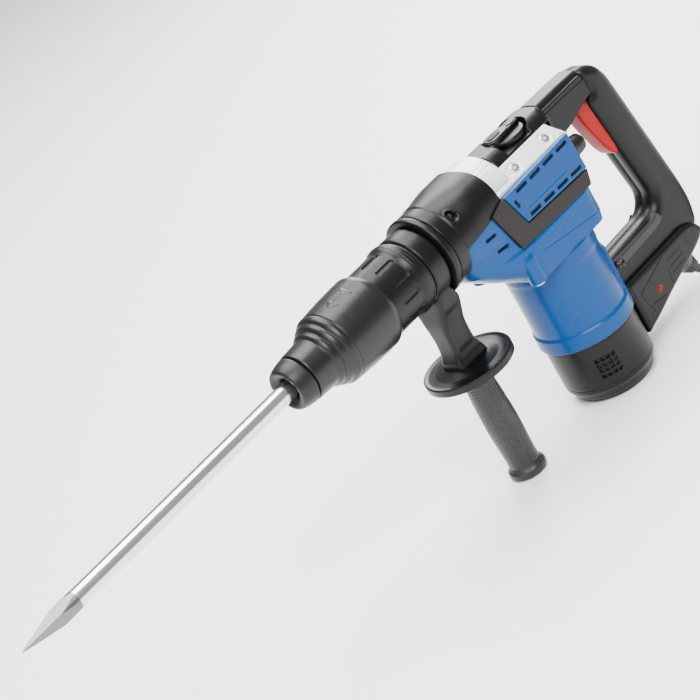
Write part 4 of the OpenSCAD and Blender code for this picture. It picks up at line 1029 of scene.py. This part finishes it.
def halfPillow(shape, outline, outer, innerY, edge, steps=9):
    # an outline drawn from its flat inner side outward, its outer rim a quarter circle of the edge
    o = np.asarray(outline, float)
    inward = inwardOf(o)
    t = np.linspace(0, math.pi / 2, steps + 1)
    offset = np.concatenate([[4, 0.45, 0.1], edge * (1 - np.cos(t))])
    sign = 1 if outer > 0 else -1
    level = np.concatenate([[innerY, innerY, innerY + 0.4 * sign], outer - sign * edge * (1 - np.sin(t))])
    ring = np.stack([insetRing(o, inward, d) for d in offset])
    pts = np.stack([ring[..., 0], np.repeat(level[:, None], len(o), 1), ring[..., 1]], -1)
    return shape.grid(pts, wrapCols=True, capFirst=True, capLast=True)


def boxRelief(x, z):
    # the deepest of three air slots, the wheel's pocket and its slot, and the outline of a panel
    cut = np.zeros_like(x)
    for k in range(3):
        slot = boxField(x, z, (367.5, -171 - 6.6 * k), (10.2, 1.15), 0.5, 0.05)
        cut = np.maximum(cut, 1.8 * (1 - smooth(slot, -0.4, 0.3)))
    pocket = boxField(x, z, (335.5, -186.5), (17.2, 10.4), 2, -0.13)
    cut = np.maximum(cut, 1.8 * (1 - smooth(pocket, -1.8, 0.4)))
    panel = boxField(x, z, (352, -183), (40, 17.5), 2.5, 0.27)
    cut = np.maximum(cut, 0.5 * (1 - smooth(np.abs(panel), 0.2, 0.8)))
    wheelSlot = boxField(x, z, (334.6, -187.4), (4.2, 8.4), 1)
    return np.maximum(cut, 2.2 * (1 - smooth(wheelSlot, -0.4, 0.4)))


for side, node, name in ((-1, "handle_shell_left", "handleLeft"), (1, "handle_shell_right", "handleRight")):
    shell = Shape()
    halfPillow(shell, shellOutline, handleSettings["half"] * side, 0.12 * side, handleSettings["edge"])
    halfPillow(shell, boxOutline, handleSettings["boxHalf"] * side, 0.2 * side, 4.5, 6)
    if side < 0:
        face = handleSettings["boxHalf"] * side
        shell.plate(handleSettings["panel"], face - 0.35, face + 4, 0.6, 0.5, boxRelief)
    piece(name, shell, "gripRubber", None, (node,), sharp=50)
softSettings = {"outline": [(306, -134.2), (371, -131.8), (380.4, -127.8), (389.6, -130.6), (387, -141),
                            (376, -147),
                            (306, -149.4)], "rounding": [2, 12, 6, 5, 12, 12, 2], "half": 18.0, "inner": 4.0,
                "edge": 11.2}
softOutline = dense(roundCorners(softSettings["outline"], softSettings["rounding"], 8, True), 2, True)
softShape = Shape()
for side in (-1, 1):
    halfPillow(softShape, softOutline, softSettings["half"] * side, softSettings["inner"] * side,
               softSettings["edge"], 8)
piece("softGrip", softShape, "softRubber", None, ("soft_grip",), sharp=50)
triggerSettings = {"outline": [(356.4, 0), (359, 4), (367, 5.5), (376, 3.5), (386, -6), (386, -20),
                               (382, -58), (380, -62),
                               (374.4, -57.6), (369.5, -48), (361, -22)],
                   "rounding": [2, 2.5, 5, 3, 3, 3, 2, 2, 3, 14, 20], "half": 10.4, "edge": 3.4}
triggerOutline = dense(roundCorners(triggerSettings["outline"], triggerSettings["rounding"], 8, True), 1.4,
                       True)
trigger = Shape().pillow(triggerOutline, -triggerSettings["half"], triggerSettings["half"],
                         triggerSettings["edge"], 7)
piece("trigger", trigger, "redPlastic", None, ("trigger",), sharp=50)
wheelSettings = {"centre": (335.0, -14.9, -188.0), "axis": (0.7071, 0, -0.7071), "teeth": 24,
                 "profile": [(-3, 2), (-3, 9.2), (-2.3, 10.3), (2.3, 10.3), (3, 9.2), (3, 2)]}


def wheelKnurl(x, a, r):
    # square notches round the rim, where the sine of the teeth times the angle is high
    return -0.7 * (np.sin(wheelSettings["teeth"] * a) > 0.2) * (r > 9.6)


wheel = Shape().turned(roundCorners(wheelSettings["profile"], 0.5, 2), origin3=wheelSettings["centre"],
                       direction=wheelSettings["axis"], segments=144, relief=wheelKnurl)
piece("speedWheel", wheel, "redPlastic", None, ("speed_wheel",), sharp=40)
bootSettings = {"foot": (384, 0, -185.3), "axis": (0.5736, 0, -0.8192)}
bootProfile = [(1, 9), (2.4, 12), (4.5, 13.4), (8, 13.6), (13, 13.2), (16.4, 12.2), (17.6, 11.4), (20.4, 11),
               (21, 9.8), (22.6, 9.6), (23.2, 10.2),
               (25, 9.7), (25.4, 8.7), (26.8, 8.5), (27.4, 9.0), (29.2, 8.4), (29.6, 7.6), (30.8, 7.4),
               (31.4, 7.7), (33.6, 7.0), (34, 6.2), (34, 4.6)]
boot = Shape().turned(roundCorners(bootProfile, 0.4, 2), origin3=bootSettings["foot"],
                      direction=bootSettings["axis"], segments=72)
piece("cordBoot", boot, "cordRubber", None, ("cable_boot",), sharp=50)
print("handle made")

# the pieces inside keep their frame shape and take a finish of their own
inside = {"machinedSteel": ["tool_holder", "locking_rollers", "hammer_tube", "bevel_ring_gear", "striker",
                            "impact_bolt", "wrist_pin", "crank_gear",
                            "idler_shaft", "armature_shaft", "drive_bearings", "spindle_bearings",
                            "wheel_pin", "clamp_rod", "handle_screws"],
          "screwSteel": ["sleeve_spring", "trigger_spring"], "castAluminium": ["piston", "connecting_rod"],
          "coreSteel": ["armature_core", "stator_core"],
          "copper": ["commutator", "stator_windings"], "brass": ["brush_holders"],
          "carbon": ["carbon_brushes"],
          "blackPlastic": ["cooling_fan", "switch_module"], "circuitBoard": ["speed_electronics"]}
for finish, names in inside.items():
    for name in names:
        node = frame["nodes"][name]
        node.data.materials.clear()
        node.data.materials.append(materials[finish])
print("inside pieces finished")

# studio: pale floor, a large soft light overhead, one from the left front and one from behind
floorMesh = bpy.data.meshes.new("studioFloor")
floorMesh.from_pydata([(-3.5, -3, -0.0005), (3.5, -3, -0.0005), (3.5, 4, -0.0005), (-3.5, 4, -0.0005)], [],
                      [(0, 1, 2, 3)])
floorObject = bpy.data.objects.new("studioFloor", floorMesh)
bpy.context.scene.collection.objects.link(floorObject)
floorMaterial = bpy.data.materials.new("paleFloor")
floorMaterial.use_nodes = True
floorMaterial.node_tree.nodes["Principled BSDF"].inputs["Base Color"].default_value = (0.97, 0.97, 0.97, 1)
floorMaterial.node_tree.nodes["Principled BSDF"].inputs["Roughness"].default_value = 0.7
floorMesh.materials.append(floorMaterial)
lightSettings = [{"name": "keyLight", "place": (-0.5, -1.3, 2.0), "size": (1.6, 1.0), "watts": 95},
                 {"name": "topLight", "place": (0.5, 0.4, 2.3), "size": (2.0, 1.4), "watts": 130},
                 {"name": "sideLight", "place": (-1.6, -0.4, 0.9), "size": (0.9, 1.2), "watts": 16},
                 {"name": "rearLight", "place": (1.5, 1.2, 1.2), "size": (0.8, 1.4), "watts": 45}]
for s in lightSettings:
    data = bpy.data.lights.new(s["name"], "AREA")
    data.shape, data.size, data.size_y, data.energy = "RECTANGLE", *s["size"], s["watts"]
    lamp = bpy.data.objects.new(s["name"], data)
    bpy.context.scene.collection.objects.link(lamp)
    lamp.location = s["place"]
    lamp.rotation_euler = (Vector(toRow((120, 0, -60))) - lamp.location).to_track_quat("-Z", "Y").to_euler()
studio = bpy.data.worlds.new("studio")
studio.use_nodes = True
studio.node_tree.nodes["Background"].inputs["Color"].default_value = (1, 1, 1, 1)
studio.node_tree.nodes["Background"].inputs["Strength"].default_value = 0.5
bpy.context.scene.world = studio
print("studio lit")
